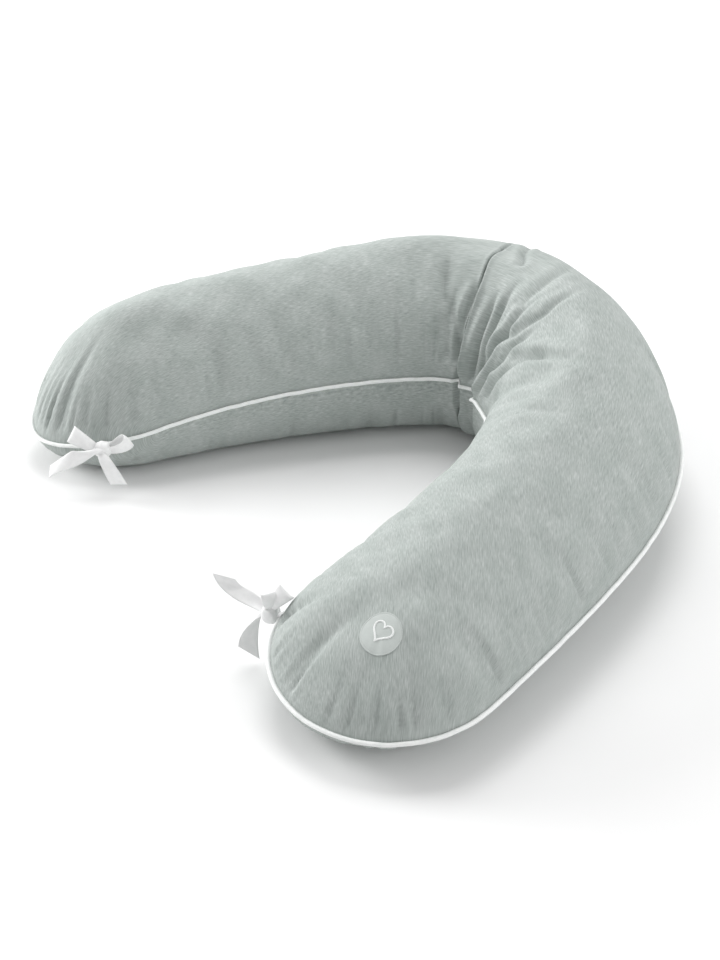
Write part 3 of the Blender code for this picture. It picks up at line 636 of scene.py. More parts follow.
    def gather(self, s: Array, t: Array, spans: Sequence[float], seeds: tuple[int, int]) -> Array:
        """The valleys of an irregular wave along the seam, one wave inside the U and one outside it.

        Args:
            s: Stations.
            t: Places across.
            spans: Wavelengths in metres.
            seeds: Seeds of the inner and the outer wave.

        Returns:
            The positive half of the wave, to the power 1.4.
        """
        inner, outer = (ripple(self.rim_place(s, t), spans, seed) for seed in seeds)
        wave = inner + (outer - inner) * smooth_step(t, -0.25, 0.25)
        return np.clip(wave, 0.0, None) ** 1.4

    def pucker(self, s: Array, t: Array) -> Array:
        """Dents where the seam gathers the cloth: valleys across the seam, fading into the panel.

        Short ones fade out over about 30 mm and long ones over about 70 mm.

        Args:
            s: Stations.
            t: Places across.

        Returns:
            Metres along the normal, minus where it goes down.
        """
        rho = self.rho(s, t)
        inside = np.clip(1.0 - rho, 0.0, 1.0) * self.half_width
        short = self.gather(s, t, self.short_gathers, (3, 8))
        long = self.gather(s, t, self.long_gathers, (5, 12))
        tip = 0.70 + 0.55 * smooth_step(self.past(s), 0.0, 0.5)
        rise = smooth_step(inside, 0.0, 0.008)
        near = np.exp(-((inside - 0.008) / 0.028) ** 2) * rise
        far = np.exp(-((inside - 0.030) / 0.050) ** 2) * rise
        return -tip * (self.gather_depth * near * short + self.gather_depth * far * long)

    def swell(self, s: Array, t: Array) -> Array:
        """Slow waves of the beads under the cloth: long irregular waves along and across, multiplied.

        Args:
            s: Stations.
            t: Places across.

        Returns:
            Metres along the normal.
        """
        across = t * self.half_width * 1.5
        first = ripple(s + 0.35 * across, (0.13, 0.21, 0.31), 21) * ripple(across, (0.16, 0.27), 22)
        second = ripple(s - 0.2 * across, (0.07, 0.11), 23) * ripple(across + 0.3 * s, (0.09, 0.14), 24)
        return self.slow_swell * first + self.quick_swell * second

    def surface(self, panel: Panel, s: Array, t: Array, lift: float = 0.0) -> Array:
        """Points of the cover's creased outside.

        Args:
            panel: Top or under.
            s: Stations.
            t: Places across.
            lift: Extra distance outwards.

        Returns:
            World points, none of them under the floor.
        """
        points = self.base(panel, s, t)
        rho = self.rho(s, t)
        calm = 1.0 - smooth_step(rho, 0.985, 1.0)
        offset = self.pucker(s, t) + self.swell(s, t) * (1.0 - rho ** 4)
        shapes = [fold.shape(self, points) for fold in self.folds if fold.panel is panel]
        dips, shift = self.fold_gain * sum(dip for dip, _ in shapes), sum(drawn for _, drawn in shapes)
        dips = np.where(dips < 0.0, self.fold_limit * np.tanh(dips / self.fold_limit), dips)
        if panel is Panel.TOP:
            offset = offset + dips
        else:
            height = points[..., 2]
            offset = offset * smooth_step(height, 0.004, 0.03) + dips * smooth_step(height, 0.0, 0.01)
        points = points + self.normal(panel, s, t) * (offset * calm + lift)[..., None]
        points = points + shift * calm[..., None] + self.drawn(panel, s, t)
        points[..., 2] = np.maximum(points[..., 2], 0.0)
        return points

    def places(self, left: int, right: int, tip: int, rows: int,
               tightness: float = 4.0) -> tuple[Array, Array]:
        """Places of a whole panel: columns packed towards the crease, and square tips bent into half discs.

        On an arm, columns lie 1 + tightness exp(-(s / 0.07)^2) times as close as far from the crease.
        In a tip, the square (a, b) becomes s = a sqrt(1 - b^2 / 2) and t = b sqrt(1 - a^2 / 2).

        Args:
            left: Columns on the left arm.
            right: Columns on the right arm.
            tip: Columns in each tip.
            rows: Rows across.
            tightness: How tightly the columns pack at the crease.

        Returns:
            s and t by column and row.
        """
        b = np.sin(0.5 * math.pi * np.linspace(-1.0, 1.0, rows + 1))[None]
        a = np.sin(0.5 * math.pi * np.arange(1, tip + 1) / tip)[:, None]
        parts = []
        for way, count, length in ((-1.0, left, self.left_length), (1.0, right, self.right_length)):
            g = np.arange(0 if way > 0 else 1, count + 1)[:, None] / count
            fine = np.linspace(0.0, length - self.tip_reach, 2001)
            packed = np.cumsum(1.0 + tightness * np.exp(-(fine / 0.07) ** 2))
            straight = np.interp(g, (packed - packed[0]) / (packed[-1] - packed[0]), fine)
            shape = (len(g), rows + 1)
            arm = (way * np.broadcast_to(straight, shape), np.broadcast_to(b, shape))
            end = (way * (length - self.tip_reach + self.tip_reach * a * np.sqrt(1.0 - b ** 2 / 2)),
                   b * np.sqrt(1.0 - a ** 2 / 2))
            parts.append([np.concatenate([arm[k], end[k]]) for k in range(2)])
        return tuple(np.concatenate([parts[0][k][::-1], parts[1][k]]) for k in range(2))

    def cloth_places(self, s: Array, t: Array) -> Array:
        """Place of each point on the cut cloth, whose grain leaves the axis of the curved right arm.

        Along it lies the station, with a tip's share of it as its arc sine, and across it the arc sine
        of t times the cloth's half width. The grain turns off the axis past its place, eased in.

        Args:
            s: Stations.
            t: Places across.

        Returns:
            Metres along and across.
        """
        end = 1.15 * self.tip_reach * np.arcsin(np.clip(self.past(s), 0.0, 1.0))
        along = np.sign(s) * (1.15 * np.minimum(np.abs(s), self.straight(s)) + end)
        eased = np.logaddexp(0.0, (s - self.grain_turn_place) / self.grain_turn_ease)
        across = self.cloth_half_width * np.arcsin(np.clip(t, -1.0, 1.0))
        return np.stack([along, across - self.grain_turn * self.grain_turn_ease * eased], axis=-1)

    def rim(self, left: int, right: int, tip: int, rows: int) -> tuple[Array, Array]:
        """The seam line round the whole pillow, with its outward directions in plan.

        Args:
            left: Columns on the left arm.
            right: Columns on the right arm.
            tip: Columns in each tip.
            rows: Rows across.

        Returns:
            Points and unit directions.
        """
        s, t = self.places(left, right, tip, rows, tightness=1.0)
        s, t = (np.concatenate([v[:, 0], v[-1, 1:], v[-2::-1, -1], v[0, -2:0:-1]]) for v in (s, t))
        smooth = self.base(Panel.TOP, s, t)
        along = np.roll(smooth, -1, axis=0) - np.roll(smooth, 1, axis=0)
        outward = unit(np.stack([along[:, 1], -along[:, 0], np.zeros(len(s))], axis=-1))
        wave = 0.0003 * ripple(self.rim_place(s, t), (0.031, 0.047, 0.083), 31)
        points = smooth + self.drawn(Panel.TOP, s, t)
        points[:, 2] += wave
        return points, outward


# ---------------------------------------------------------------- finishes

def linear(colour: str) -> tuple[float, float, float, float]:
    """An sRGB hex colour as linear values.

    Args:
        colour: Six hex digits after a hash.

    Returns:
        Red, green, blue and an alpha of 1.
    """
    parts = [int(colour[k:k + 2], 16) / 255.0 for k in (1, 3, 5)]
    made = [part / 12.92 if part <= 0.04045 else ((part + 0.055) / 1.055) ** 2.4 for part in parts]
    return made[0], made[1], made[2], 1.0


class Dye:
    """A material's node tree while it is being built."""

    def __init__(self, name: str, roughness: float, ior: float = 1.45, metallic: float = 0.0) -> None:
        """Start a material.

        Args:
            name: Its name.
            roughness: Roughness on the shader's own socket.
            ior: Index of refraction.
            metallic: 1 for a metal.
        """
        self.material = bpy.data.materials.new(name)
        self.material.use_nodes = True
        self.tree = self.material.node_tree
        self.shader = self.tree.nodes["Principled BSDF"]
        self.shader.inputs["Roughness"].default_value = roughness
        self.shader.inputs["IOR"].default_value = ior
        self.shader.inputs["Metallic"].default_value = metallic

    def add(self, kind: str, links: Optional[dict] = None, **settings: object) -> bpy.types.Node:
        """Add a node with its settings and links.

        Args:
            kind: The node's type.
            links: For each input, by name or number, a value or another node's output.
            settings: Properties of the node.

        Returns:
            The node.
        """
        node = self.tree.nodes.new(kind)
        for key, value in settings.items():
            setattr(node, key, value)
        for key, value in (links or {}).items():
            if isinstance(value, bpy.types.NodeSocket):
                self.tree.links.new(value, node.inputs[key])
            else:
                node.inputs[key].default_value = value
        return node

    def place(self, uv: bool, scale: Sequence[float], turn: float = 0.0) -> bpy.types.NodeSocket:
        """Scaled coordinates, from the piece's cloth map or from its object's space.

        Args:
            uv: Whether the cloth map is read.
            scale: Repeats to a metre along each axis.
            turn: Turn about Z before scaling, in radians.

        Returns:
            The coordinates.
        """
        if uv:
            source = self.add("ShaderNodeUVMap", uv_map="Cloth").outputs[0]
        else:
            source = self.add("ShaderNodeTexCoord").outputs["Object"]
        if turn:
            source = self.add("ShaderNodeMapping", {"Vector": source, "Rotation": (0, 0, turn)}).outputs[0]
        return self.add("ShaderNodeMapping", {"Vector": source, "Scale": tuple(scale)}).outputs[0]

    def noise(self, place: bpy.types.NodeSocket, detail: float = 2.0,
              rough: float = 0.5) -> bpy.types.NodeSocket:
        """Noise of unit scale at a place."""
        node = self.add("ShaderNodeTexNoise", {"Vector": place, "Scale": 1.0, "Detail": detail,
                                               "Roughness": rough})
        return node.outputs["Fac"]

    def ramp(self, value: bpy.types.NodeSocket, stops: Sequence[tuple[float, str]]) -> bpy.types.NodeSocket:
        """Colours along a value.

        Args:
            value: The value.
            stops: Places and their sRGB hex colours.

        Returns:
            The colour.
        """
        node = self.add("ShaderNodeValToRGB", {"Fac": value})
        band = node.color_ramp
        while len(band.elements) < len(stops):
            band.elements.new(0.5)
        for element, (spot, colour) in zip(band.elements, stops):
            element.position = spot
            element.color = linear(colour)
        return node.outputs["Color"]

    def blend(self, share: object, first: object, second: object, kind: str = "MIX") -> bpy.types.NodeSocket:
        """Mix two colours."""
        node = self.add("ShaderNodeMix", {0: share, 6: first, 7: second}, data_type="RGBA", blend_type=kind)
        return node.outputs[2]

    def sum(self, first: object, second: object, kind: str = "ADD") -> bpy.types.NodeSocket:
        """Work out one number from two."""
        return self.add("ShaderNodeMath", {0: first, 1: second}, operation=kind).outputs[0]

    def colour(self, value: bpy.types.NodeSocket) -> None:
        """Give the shader its colour."""
        self.tree.links.new(value, self.shader.inputs["Base Color"])

    def relief(self, height: bpy.types.NodeSocket, depth: float, strength: float = 1.0) -> None:
        """Give the shader its bumps.

        Args:
            height: Height from 0 to 1.
            depth: Depth of the bumps in metres.
            strength: Share of the effect.
        """
        bump = self.add("ShaderNodeBump", {"Height": height, "Distance": depth, "Strength": strength})
        self.tree.links.new(bump.outputs[0], self.shader.inputs["Normal"])

    def sheen(self, weight: float, roughness: float, tint: str) -> None:
        """Fuzz on the shader's own sockets."""
        self.shader.inputs["Sheen Weight"].default_value = weight
        self.shader.inputs["Sheen Roughness"].default_value = roughness
        self.shader.inputs["Sheen Tint"].default_value = linear(tint)


@dataclass(frozen=True)
class MelangeJersey:
    """Cotton melange jersey: dyed and undyed fibres spun together and knitted.

    The mixed yarn shows as short soft streaks along the cloth, about 9 mm by 1.3 mm. The knit's
    columns are about 0.8 mm apart, drawn at 1.5 mm so that they show. Matt, with a little fuzz.
    """

    dark: str = "#909794"
    middle: str = "#ABB1AE"
    light: str = "#C4C9C7"
    streak: tuple[float, float] = (0.011, 0.0012)
    wale: float = 0.0015

    def make(self, name: str) -> bpy.types.Material:
        """Build the material.

        Args:
            name: The material's name.

        Returns:
            The material.
        """
        dye = Dye(name, 0.92, 1.46)
        streak = dye.noise(dye.place(True, (1 / self.streak[0], 1 / self.streak[1], 1.0)), 2.0, 0.55)
        fine = dye.noise(dye.place(True, (1 / 0.0060, 1 / 0.0010, 1.0)), 2.0, 0.5)
        cloud = dye.noise(dye.place(True, (22.0, 30.0, 1.0)), 2.0, 0.5)
        mixed = dye.sum(dye.sum(streak, 0.70, "MULTIPLY"), dye.sum(fine, 0.30, "MULTIPLY"))
        shade = dye.ramp(mixed, ((0.29, self.dark), (0.50, self.middle), (0.71, self.light)))
        cloudy = dye.ramp(cloud, ((0.3, "#F1F3F2"), (0.7, "#FFFFFF")))
        dye.colour(dye.blend(1.0, shade, cloudy, "MULTIPLY"))
        knit = dye.add("ShaderNodeTexWave", {"Vector": dye.place(True, (1.0, 1 / self.wale, 1.0)),
                                             "Scale": ONE_BAND, "Distortion": 1.2, "Detail": 1.0,
                                             "Detail Scale": 2.0}, bands_direction="Y")
        dye.relief(dye.sum(dye.sum(knit.outputs["Fac"], 0.35, "MULTIPLY"), mixed), 0.0003, 0.35)
        dye.sheen(0.10, 0.45, "#E4E7E6")
        return dye.material


@dataclass(frozen=True)
class WovenCloth:
    """Plain, twill or satin woven cloth, in one colour with the small changes of its threads.

    Threads are about 0.3 mm apart, drawn at the given pitch so that they show. A twill's lines lie at
    45 degrees, and a satin is smoother and shines a little more.
    """

    light: str
    dark: str
    pitch: float = 0.0012
    weave: Weave = Weave.TWILL
    roughness: float = 0.85
    depth: float = 0.00025

    def make(self, name: str, uv: bool = True) -> bpy.types.Material:
        """Build the material.

        Args:
            name: The material's name.
            uv: Whether the piece has a cloth map.

        Returns:
            The material.
        """
        dye = Dye(name, self.roughness, 1.46)
        turn = math.radians(45.0) if self.weave is Weave.TWILL else 0.0
        place = dye.place(uv, (1 / self.pitch, 1 / self.pitch, 1 / self.pitch), turn)
        rib, weft = (dye.add("ShaderNodeTexWave", {"Vector": place, "Scale": ONE_BAND, "Distortion": 0.4},
                             bands_direction=way) for way in ("X", "Y"))
        share = 0.25 if self.weave is Weave.TWILL else 0.6
        weave = dye.sum(dye.sum(rib.outputs["Fac"], 1.0 - share, "MULTIPLY"),
                        dye.sum(weft.outputs["Fac"], share, "MULTIPLY"))
        patchy = dye.noise(dye.place(uv, (90.0, 90.0, 90.0)), 3.0, 0.55)
        tone = dye.sum(dye.sum(weave, 0.35, "MULTIPLY"), dye.sum(patchy, 0.75, "MULTIPLY"))
        dye.colour(dye.ramp(tone, ((0.20, self.dark), (0.75, self.light))))
        dye.relief(weave, self.depth, 0.6)
        dye.sheen(0.15, 0.4, "#FFFFFF")
        return dye.material


@dataclass(frozen=True)
class BeadFill:
    """Expanded polystyrene beads, steam-blown: white matt foam balls about 3 mm across, with painted shade
    towards their edges and in the gaps between them.
    """

    bead: float = 0.003

    def make(self, name: str) -> bpy.types.Material:
        """Build the material.

        Args:
            name: The material's name.

        Returns:
            The material.
        """
        dye = Dye(name, 0.75, 1.49)
        place = dye.place(False, (1 / self.bead,) * 3)
        cells = dye.add("ShaderNodeTexVoronoi", {"Vector": place, "Scale": 1.0}).outputs["Distance"]
        # Painted shade: each bead is light at its middle and greyer towards its edge and in the gaps between
        # beads.
        dye.colour(dye.ramp(cells, ((0.1, "#F6F6F4"), (0.7, "#C9C9C6"))))
        hollow = dye.sum(1.0, cells, "SUBTRACT")
        dye.relief(hollow, 0.001, 0.8)
        return dye.material


@dataclass(frozen=True)
class CastMetal:
    """Die-cast zinc with a satin nickel plate: fine random scratches change its roughness a little."""

    colour: str = "#BFC1C3"

    def make(self, name: str) -> bpy.types.Material:
        """Build the material.

        Args:
            name: The material's name.

        Returns:
            The material.
        """
        dye = Dye(name, 0.32, 1.5, 1.0)
        scratch = dye.noise(dye.place(False, (900.0, 900.0, 2600.0)), 4.0, 0.6)
        dye.colour(dye.ramp(scratch, ((0.3, "#AEB0B2"), (0.7, self.colour))))
        rough = dye.add("ShaderNodeMapRange", {"Value": scratch, "To Min": 0.26, "To Max": 0.42})
        dye.tree.links.new(rough.outputs[0], dye.shader.inputs["Roughness"])
        dye.relief(scratch, 0.00003, 0.4)
        return dye.material


@dataclass(frozen=True)
class CoilPlastic:
    """Moulded polyester monofilament of a zip's coil: smooth grey plastic with a faint mottle."""

    colour: str = "#A4A9A7"

    def make(self, name: str) -> bpy.types.Material:
        """Build the material.

        Args:
            name: The material's name.

        Returns:
            The material.
        """
        dye = Dye(name, 0.4, 1.57)
        mottle = dye.noise(dye.place(False, (700.0, 700.0, 700.0)), 2.0, 0.5)
        dye.colour(dye.ramp(mottle, ((0.3, "#8F9492"), (0.7, self.colour))))
        dye.relief(mottle, 0.00002, 0.3)
        return dye.material


@dataclass(frozen=True)
class StitchThread:
    """Embroidery thread in satin stitch: bright white polyester threads about 0.4 mm wide, side by side."""

    pitch: float = 0.0009

    def make(self, name: str) -> bpy.types.Material:
        """Build the material.

        Args:
            name: The material's name.

        Returns:
            The material.
        """
        dye = Dye(name, 0.55, 1.5)
        place = dye.place(True, (1 / self.pitch, 1 / self.pitch, 1.0))
        thread = dye.add("ShaderNodeTexWave", {"Vector": place, "Scale": ONE_BAND, "Distortion": 0.2},
                         bands_direction="X")
        dye.colour(dye.ramp(thread.outputs["Fac"], ((0.1, "#D9DEDC"), (0.7, "#FBFCFB"))))
        dye.relief(thread.outputs["Fac"], 0.0003, 0.7)
        dye.sheen(0.2, 0.3, "#FFFFFF")
        return dye.material


class Finishes:
    """Every material of the pillow, made once."""

    def __init__(self) -> None:
        """Make the materials."""
        satin, grey = Weave.SATIN, WovenCloth("#AEB4B1", "#8B918F", 0.0010, roughness=0.75)
        self.jersey = MelangeJersey().make("melange_jersey")
        self.piping = WovenCloth("#FBFCFB", "#E4E8E6", 0.0010).make("piping_bias_cotton")
        self.cord = WovenCloth("#F2F1EC", "#D8D6CF", 0.0014).make("piping_twisted_cord", uv=False)
        self.ribbon = WovenCloth("#F8F8F8", "#E6E7E7", 0.0011, depth=0.0002).make("ribbon_cotton_twill")
        self.liner = WovenCloth("#EFECE4", "#DAD6CB", 0.0012, satin).make("liner_plain_cotton")
        self.tape = grey.make("zip_tape_polyester", uv=False)
        self.label = WovenCloth("#F7F7F5", "#E3E3E0", 0.0008, satin, 0.5).make("label_satin", uv=False)
        self.patch = WovenCloth("#C2C8C5", "#B6BCB9", 0.0011, satin, 0.8).make("patch_brushed_cotton")
        self.thread = StitchThread().make("embroidery_thread")
        self.beads = BeadFill().make("polystyrene_beads")
        self.metal = CastMetal().make("plated_zinc")
        self.coil = CoilPlastic().make("zip_coil_plastic")


# ---------------------------------------------------------------- pieces

@dataclass
class Cover:
    """The jersey cover's two panels, sewn all round."""

    bolster: Bolster
    finishes: Finishes
    left_columns: int = 150
    right_columns: int = 190
    tip_columns: int = 24
    rows: int = 96
    window: tuple[float, float] = (-0.381, -0.139)
    window_depth: float = 0.0040
    window_ease: float = 0.002
    window_lip: tuple[float, float] = (0.0012, 0.0008)

    def open_window(self, points: Array, s: Array, t: Array) -> Array:
        """Fold the under panel back behind the zip: a trough under the tapes, level along them.

        Args:
            points: The panel's points.
            s: Their stations.
            t: Their places across.

        Returns:
            The changed points.
        """
        low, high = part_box("zip_tape_lower")[0].z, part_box("zip_tape_upper")[1].z
        (start, stop), (past, short), ease = self.window, self.window_lip, self.window_ease
        inside = smooth_step(points[..., 2], low - past, low + short)
        inside = inside * smooth_step(points[..., 2], high + past, high - short) * (t > 0.5)
        inside = inside * smooth_step(s, start - ease, start + ease)
        inside = inside * smooth_step(s, stop + ease, stop - ease)
        outward = self.bolster.normal(Panel.UNDER, s, t)
        return points - outward * (inside * self.window_depth)[..., None]

    def build(self) -> None:
        """Make both panels from the bolster's creased surface."""
        s, t = self.bolster.places(self.left_columns, self.right_columns, self.tip_columns, self.rows)
        for panel, node in ((Panel.TOP, "cover_top_panel"), (Panel.UNDER, "cover_bottom_panel")):
            points = self.bolster.surface(panel, s, t)
            if panel is Panel.UNDER:
                points = self.open_window(points, s, t)
            uv = self.bolster.cloth_places(s, t)
            piece = grid_piece(f"jersey_{panel.value}", points, self.finishes.jersey, uv,
                               flip=panel is Panel.UNDER)
            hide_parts(node)
            across_crease(piece)


def across_crease(piece: bpy.types.Object) -> None:
    """Bake a piece's transform into its mesh; the piece does not bend where the arms meet.

    Args:
        piece: The piece.
    """
    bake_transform(piece)


@dataclass
class Piping:
    """The white piping in the seam: a bias-cut strip folded over a cord, with its sewn flange."""

    bolster: Bolster
    finishes: Finishes
    radius: float = 0.0029
    flange: float = 0.0050
    touch: float = 0.0004
    core_share: float = 0.72
    sides: int = 12

    def path(self) -> tuple[Array, Array]:
        """The cord's line, one radius outside the seam, and its outward directions."""
        points, outward = self.bolster.rim(170, 210, 30, 24)
        return points + outward * (self.radius + self.touch), outward

    def sweep(self, radius: float, flange: float) -> Array:
        """Carry a keyhole profile along the path: a circle, drawn out to a thin flange at its inner side.

        Args:
            radius: Radius of the circle.
            flange: Reach of the flange past the circle.

        Returns:
            Points by station and by place round the profile.
        """
        points, outward = self.path()
        angle = 2.0 * math.pi * np.arange(self.sides) / self.sides
        out = np.where(np.arange(self.sides) == self.sides // 2, -radius - flange, np.cos(angle) * radius)
        up = np.sin(angle) * radius
        sideways = outward[:, None] * out[None, :, None]
        return points[:, None] + sideways + np.array([0, 0, 1.0]) * up[None, :, None]

    def build(self) -> None:
        """Make the sleeve and the cord inside it."""
        for name, node, radius, flange, finish in (
                ("piping_strip", "piping_sleeve", self.radius, self.flange, self.finishes.piping),
                ("piping_cord", "piping_core", self.radius * self.core_share, 0.0, self.finishes.cord)):
            rings = self.sweep(radius, flange)
            length = np.cumsum(np.linalg.norm(np.diff(rings[:, 0], axis=0, prepend=rings[-1:, 0]), axis=1))
            turn = np.arange(self.sides) / self.sides * 2.0 * math.pi * radius
            uv = np.stack(np.broadcast_arrays(length[:, None], turn[None]), axis=-1)
            piece = grid_piece(name, rings, finish, uv, round_columns=True, round_rows=True)
            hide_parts(node)
            across_crease(piece)


@dataclass
class Inside:
    """The liner and its filling, a little inside the cover all round."""

    bolster: Bolster
    finishes: Finishes
    liner_depth: float = 0.0045
    fill_depth: float = 0.0085
    reach: float = 0.10
    gap: float = 0.004
    spare: float = 0.0050
    # Where the liner keeps deeper, clear of the folds: station, half width and depth of each place.
    deeper: tuple[tuple[float, float, float], ...] = ((0.0, 0.045, 0.020), (0.10, 0.12, 0.017))

    def shell(self, panel: Panel, s: Array, t: Array, depth: float) -> Array:
        """The cover's surface moved inwards by a depth and kept inside the seam.

        Args:
            panel: Top or under.
            s: Stations.
            t: Places across.
            depth: How far in.

        Returns:
            World points.
        """
        shrink = 1.0 - 1.6 * depth / self.bolster.half_width
        past = self.bolster.past(s) * shrink
        s = np.sign(s) * (np.minimum(np.abs(s), self.bolster.straight(s)) + past * self.bolster.tip_reach)
        points = self.bolster.base(panel, s, t * shrink)
        crease = sum(most * np.exp(-((s - place) / span) ** 2) for place, span, most in self.deeper)
        dent = self.bolster.pucker(s, t * shrink) + self.bolster.pucker(s, t * shrink * 0.97)
        inwards = depth + (crease + self.spare) - dent
        points = points - self.bolster.normal(panel, s, t * shrink) * inwards[..., None]
        points[..., 2] = np.maximum(points[..., 2], depth)
        return points

    def liner(self) -> None:
        """Make the liner's two panels."""
        s, t = self.bolster.places(90, 110, 12, 40)
        for panel, node in ((Panel.TOP, "liner_top_panel"), (Panel.UNDER, "liner_bottom_panel")):
            points = self.shell(panel, s, t, self.liner_depth)
            piece = grid_piece(f"liner_{panel.value}", points, self.finishes.liner,
                               self.bolster.cloth_places(s, t), flip=panel is Panel.UNDER)
            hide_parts(node)
            across_crease(piece)

    def fill(self) -> None:
        """Make the filling's three bodies, each a top and an under grid closed round the edge."""
        s, t = self.bolster.places(60, 75, 10, 28)
        middle = s[:, s.shape[1] // 2]
        for node, low, high in (("left_fill", -math.inf, -self.reach - self.gap),
                                ("bend_fill", -self.reach, self.reach),
                                ("right_fill", self.reach + self.gap, math.inf)):
            held = np.flatnonzero((middle > low) & (middle < high))
            top, under = (self.shell(panel, s[held], t[held], self.fill_depth) for panel in Panel)
            rings = np.concatenate([top, under[:, ::-1]], axis=1)
            piece = capped_tube(f"beads_{node}", rings, self.finishes.beads)
            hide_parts(node)
            if node == "bend_fill":
                across_crease(piece)
            else:
                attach(piece, node.replace("fill", "arm"))


@dataclass
class Patch:
    """The round patch on the right arm, with its stitched rim and a heart in outline."""

    bolster: Bolster
    finishes: Finishes
    place: tuple[float, float] = (0.665, 0.18)
    radius: float = 0.027
    wall: float = 0.0007
    emblem: float = 0.028
    thread: float = 0.0013

    def scales(self) -> tuple[float, float]:
        """How far the cover's surface goes, at the patch, for one unit of s and of t."""
        s, t = (np.array([value]) for value in self.place)
        step = 0.02
        along = self.bolster.base(Panel.TOP, s + step, t) - self.bolster.base(Panel.TOP, s - step, t)
        across = self.bolster.base(Panel.TOP, s, t + step) - self.bolster.base(Panel.TOP, s, t - step)
        return float(np.linalg.norm(along)) / (2 * step), float(np.linalg.norm(across)) / (2 * step)

    def on_cover(self, u: Array, v: Array, lift: Array) -> Array:
        """Points over the patch's middle, in metres along and across, lifted off the cover.

        Args:
            u: Along the arm.
            v: Across it.
            lift: Height over the cover.

        Returns:
            World points.
        """
        along, across = self.scales()
        s, t = self.place[0] + u / along, self.place[1] + v / across
        normal = self.bolster.normal(Panel.TOP, s, t)
        return self.bolster.surface(Panel.TOP, s, t) + normal * lift[..., None]

    def disc(self) -> bpy.types.Object:
        """The patch: a disc whose height rises from the cover and is level inside, with a closed back.

        Returns:
            The piece.
        """
        ring_share = (0.0, 0.3, 0.6, 0.85, 0.95, 0.99, 1.0, 1.0, 0.0)
        ring_lift = (1.0, 1.0, 1.0, 1.0, 1.0, 0.75, 0.3, -1.2, -1.2)
        share = np.array(ring_share)[:, None]
        lift = np.array(ring_lift)[:, None] * self.wall
        angle = np.linspace(0.0, 2.0 * math.pi, 73)[None, :-1]
        u, v = share * self.radius * np.cos(angle), share * self.radius * np.sin(angle)
        points = self.on_cover(u, v, np.broadcast_to(lift, u.shape))
        piece = grid_piece("patch_disc", points, self.finishes.patch, np.stack([u, v], axis=-1),
                           round_rows=True)
        weld_and_face_out(piece)
        return piece

    def cord(self, name: str, u: Array, v: Array, lift: float, radius: float, finish: bpy.types.Material,
             sides: int = 8) -> bpy.types.Object:
        """A line of satin stitch: a flattened half-round cord laid along a closed line on the cover.

        Args:
            name: Name of the piece.
            u: The line's places along the arm.
            v: The line's places across it.
            lift: Height of the cord's middle over the cover.
            radius: Half its width.
            finish: Its material.
            sides: Points round it.

        Returns:
            The piece.
        """
        du, dv = np.roll(u, -1) - np.roll(u, 1), np.roll(v, -1) - np.roll(v, 1)
        size = np.maximum(np.hypot(du, dv), 1e-9)
        angle = 2.0 * math.pi * np.arange(sides) / sides
        side, rise = np.cos(angle) * radius, np.sin(angle) * radius * 0.6
        around_u = u[:, None] + (dv / size)[:, None] * side
        around_v = v[:, None] - (du / size)[:, None] * side
        points = self.on_cover(around_u, around_v, np.broadcast_to(lift + rise, around_u.shape))
        length = np.cumsum(np.hypot(du, dv) / 2)
        uv = np.stack(np.broadcast_arrays(length[:, None], side[None]), axis=-1)
        piece = grid_piece(name, points, finish, uv, round_columns=True, round_rows=True)
        weld_and_face_out(piece)
        return piece

    def heart(self, count: int = 120) -> tuple[Array, Array]:
        """A heart's outline: x = 16 sin^3 a and y = 13 cos a - 5 cos 2a - 2 cos 3a - cos 4a, scaled.

        Args:
            count: How many points.

        Returns:
            Places along and across.
        """
        a = 2.0 * math.pi * np.arange(count) / count
        x = 16.0 * np.sin(a) ** 3
        y = 13.0 * np.cos(a) - 5.0 * np.cos(2 * a) - 2.0 * np.cos(3 * a) - np.cos(4 * a)
        scale = self.emblem / 32.0
        return -(y + 2.5) * scale, x * scale

    def build(self) -> None:
        """Make the disc, its stitched rim and the heart."""
        angle = 2.0 * math.pi * np.arange(140) / 140
        disc = self.disc()
        rim = self.cord("patch_rim_stitch", self.radius * np.cos(angle), self.radius * np.sin(angle),
                        0.6 * self.wall, 0.0009, self.finishes.patch)
        u, v = self.heart()
        heart = self.cord("patch_heart_stitch", u, v, self.wall + 0.1 * self.thread, self.thread,
                          self.finishes.thread)
        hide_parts("round_patch")
        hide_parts("patch_emblem")
        for piece in (disc, rim, heart):
            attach(piece, "right_arm")


@dataclass(frozen=True)
class Loop:
    """A bow's loop: the way it reaches, the way its width lies, its length and how far its runs part."""

    reach: tuple[float, float, float]
    across: tuple[float, float, float]
    length: float
    spread: float


@dataclass(frozen=True)
class Tail:
    """A bow's tail: its route from the knot's front, how its two ends lie, and its cut's slant."""

    route: tuple[tuple[float, float, float], ...]
    turned: tuple[float, float, float]
    slant: float
    start: tuple[float, float, float] = (0.0, 1.0, 0.0)


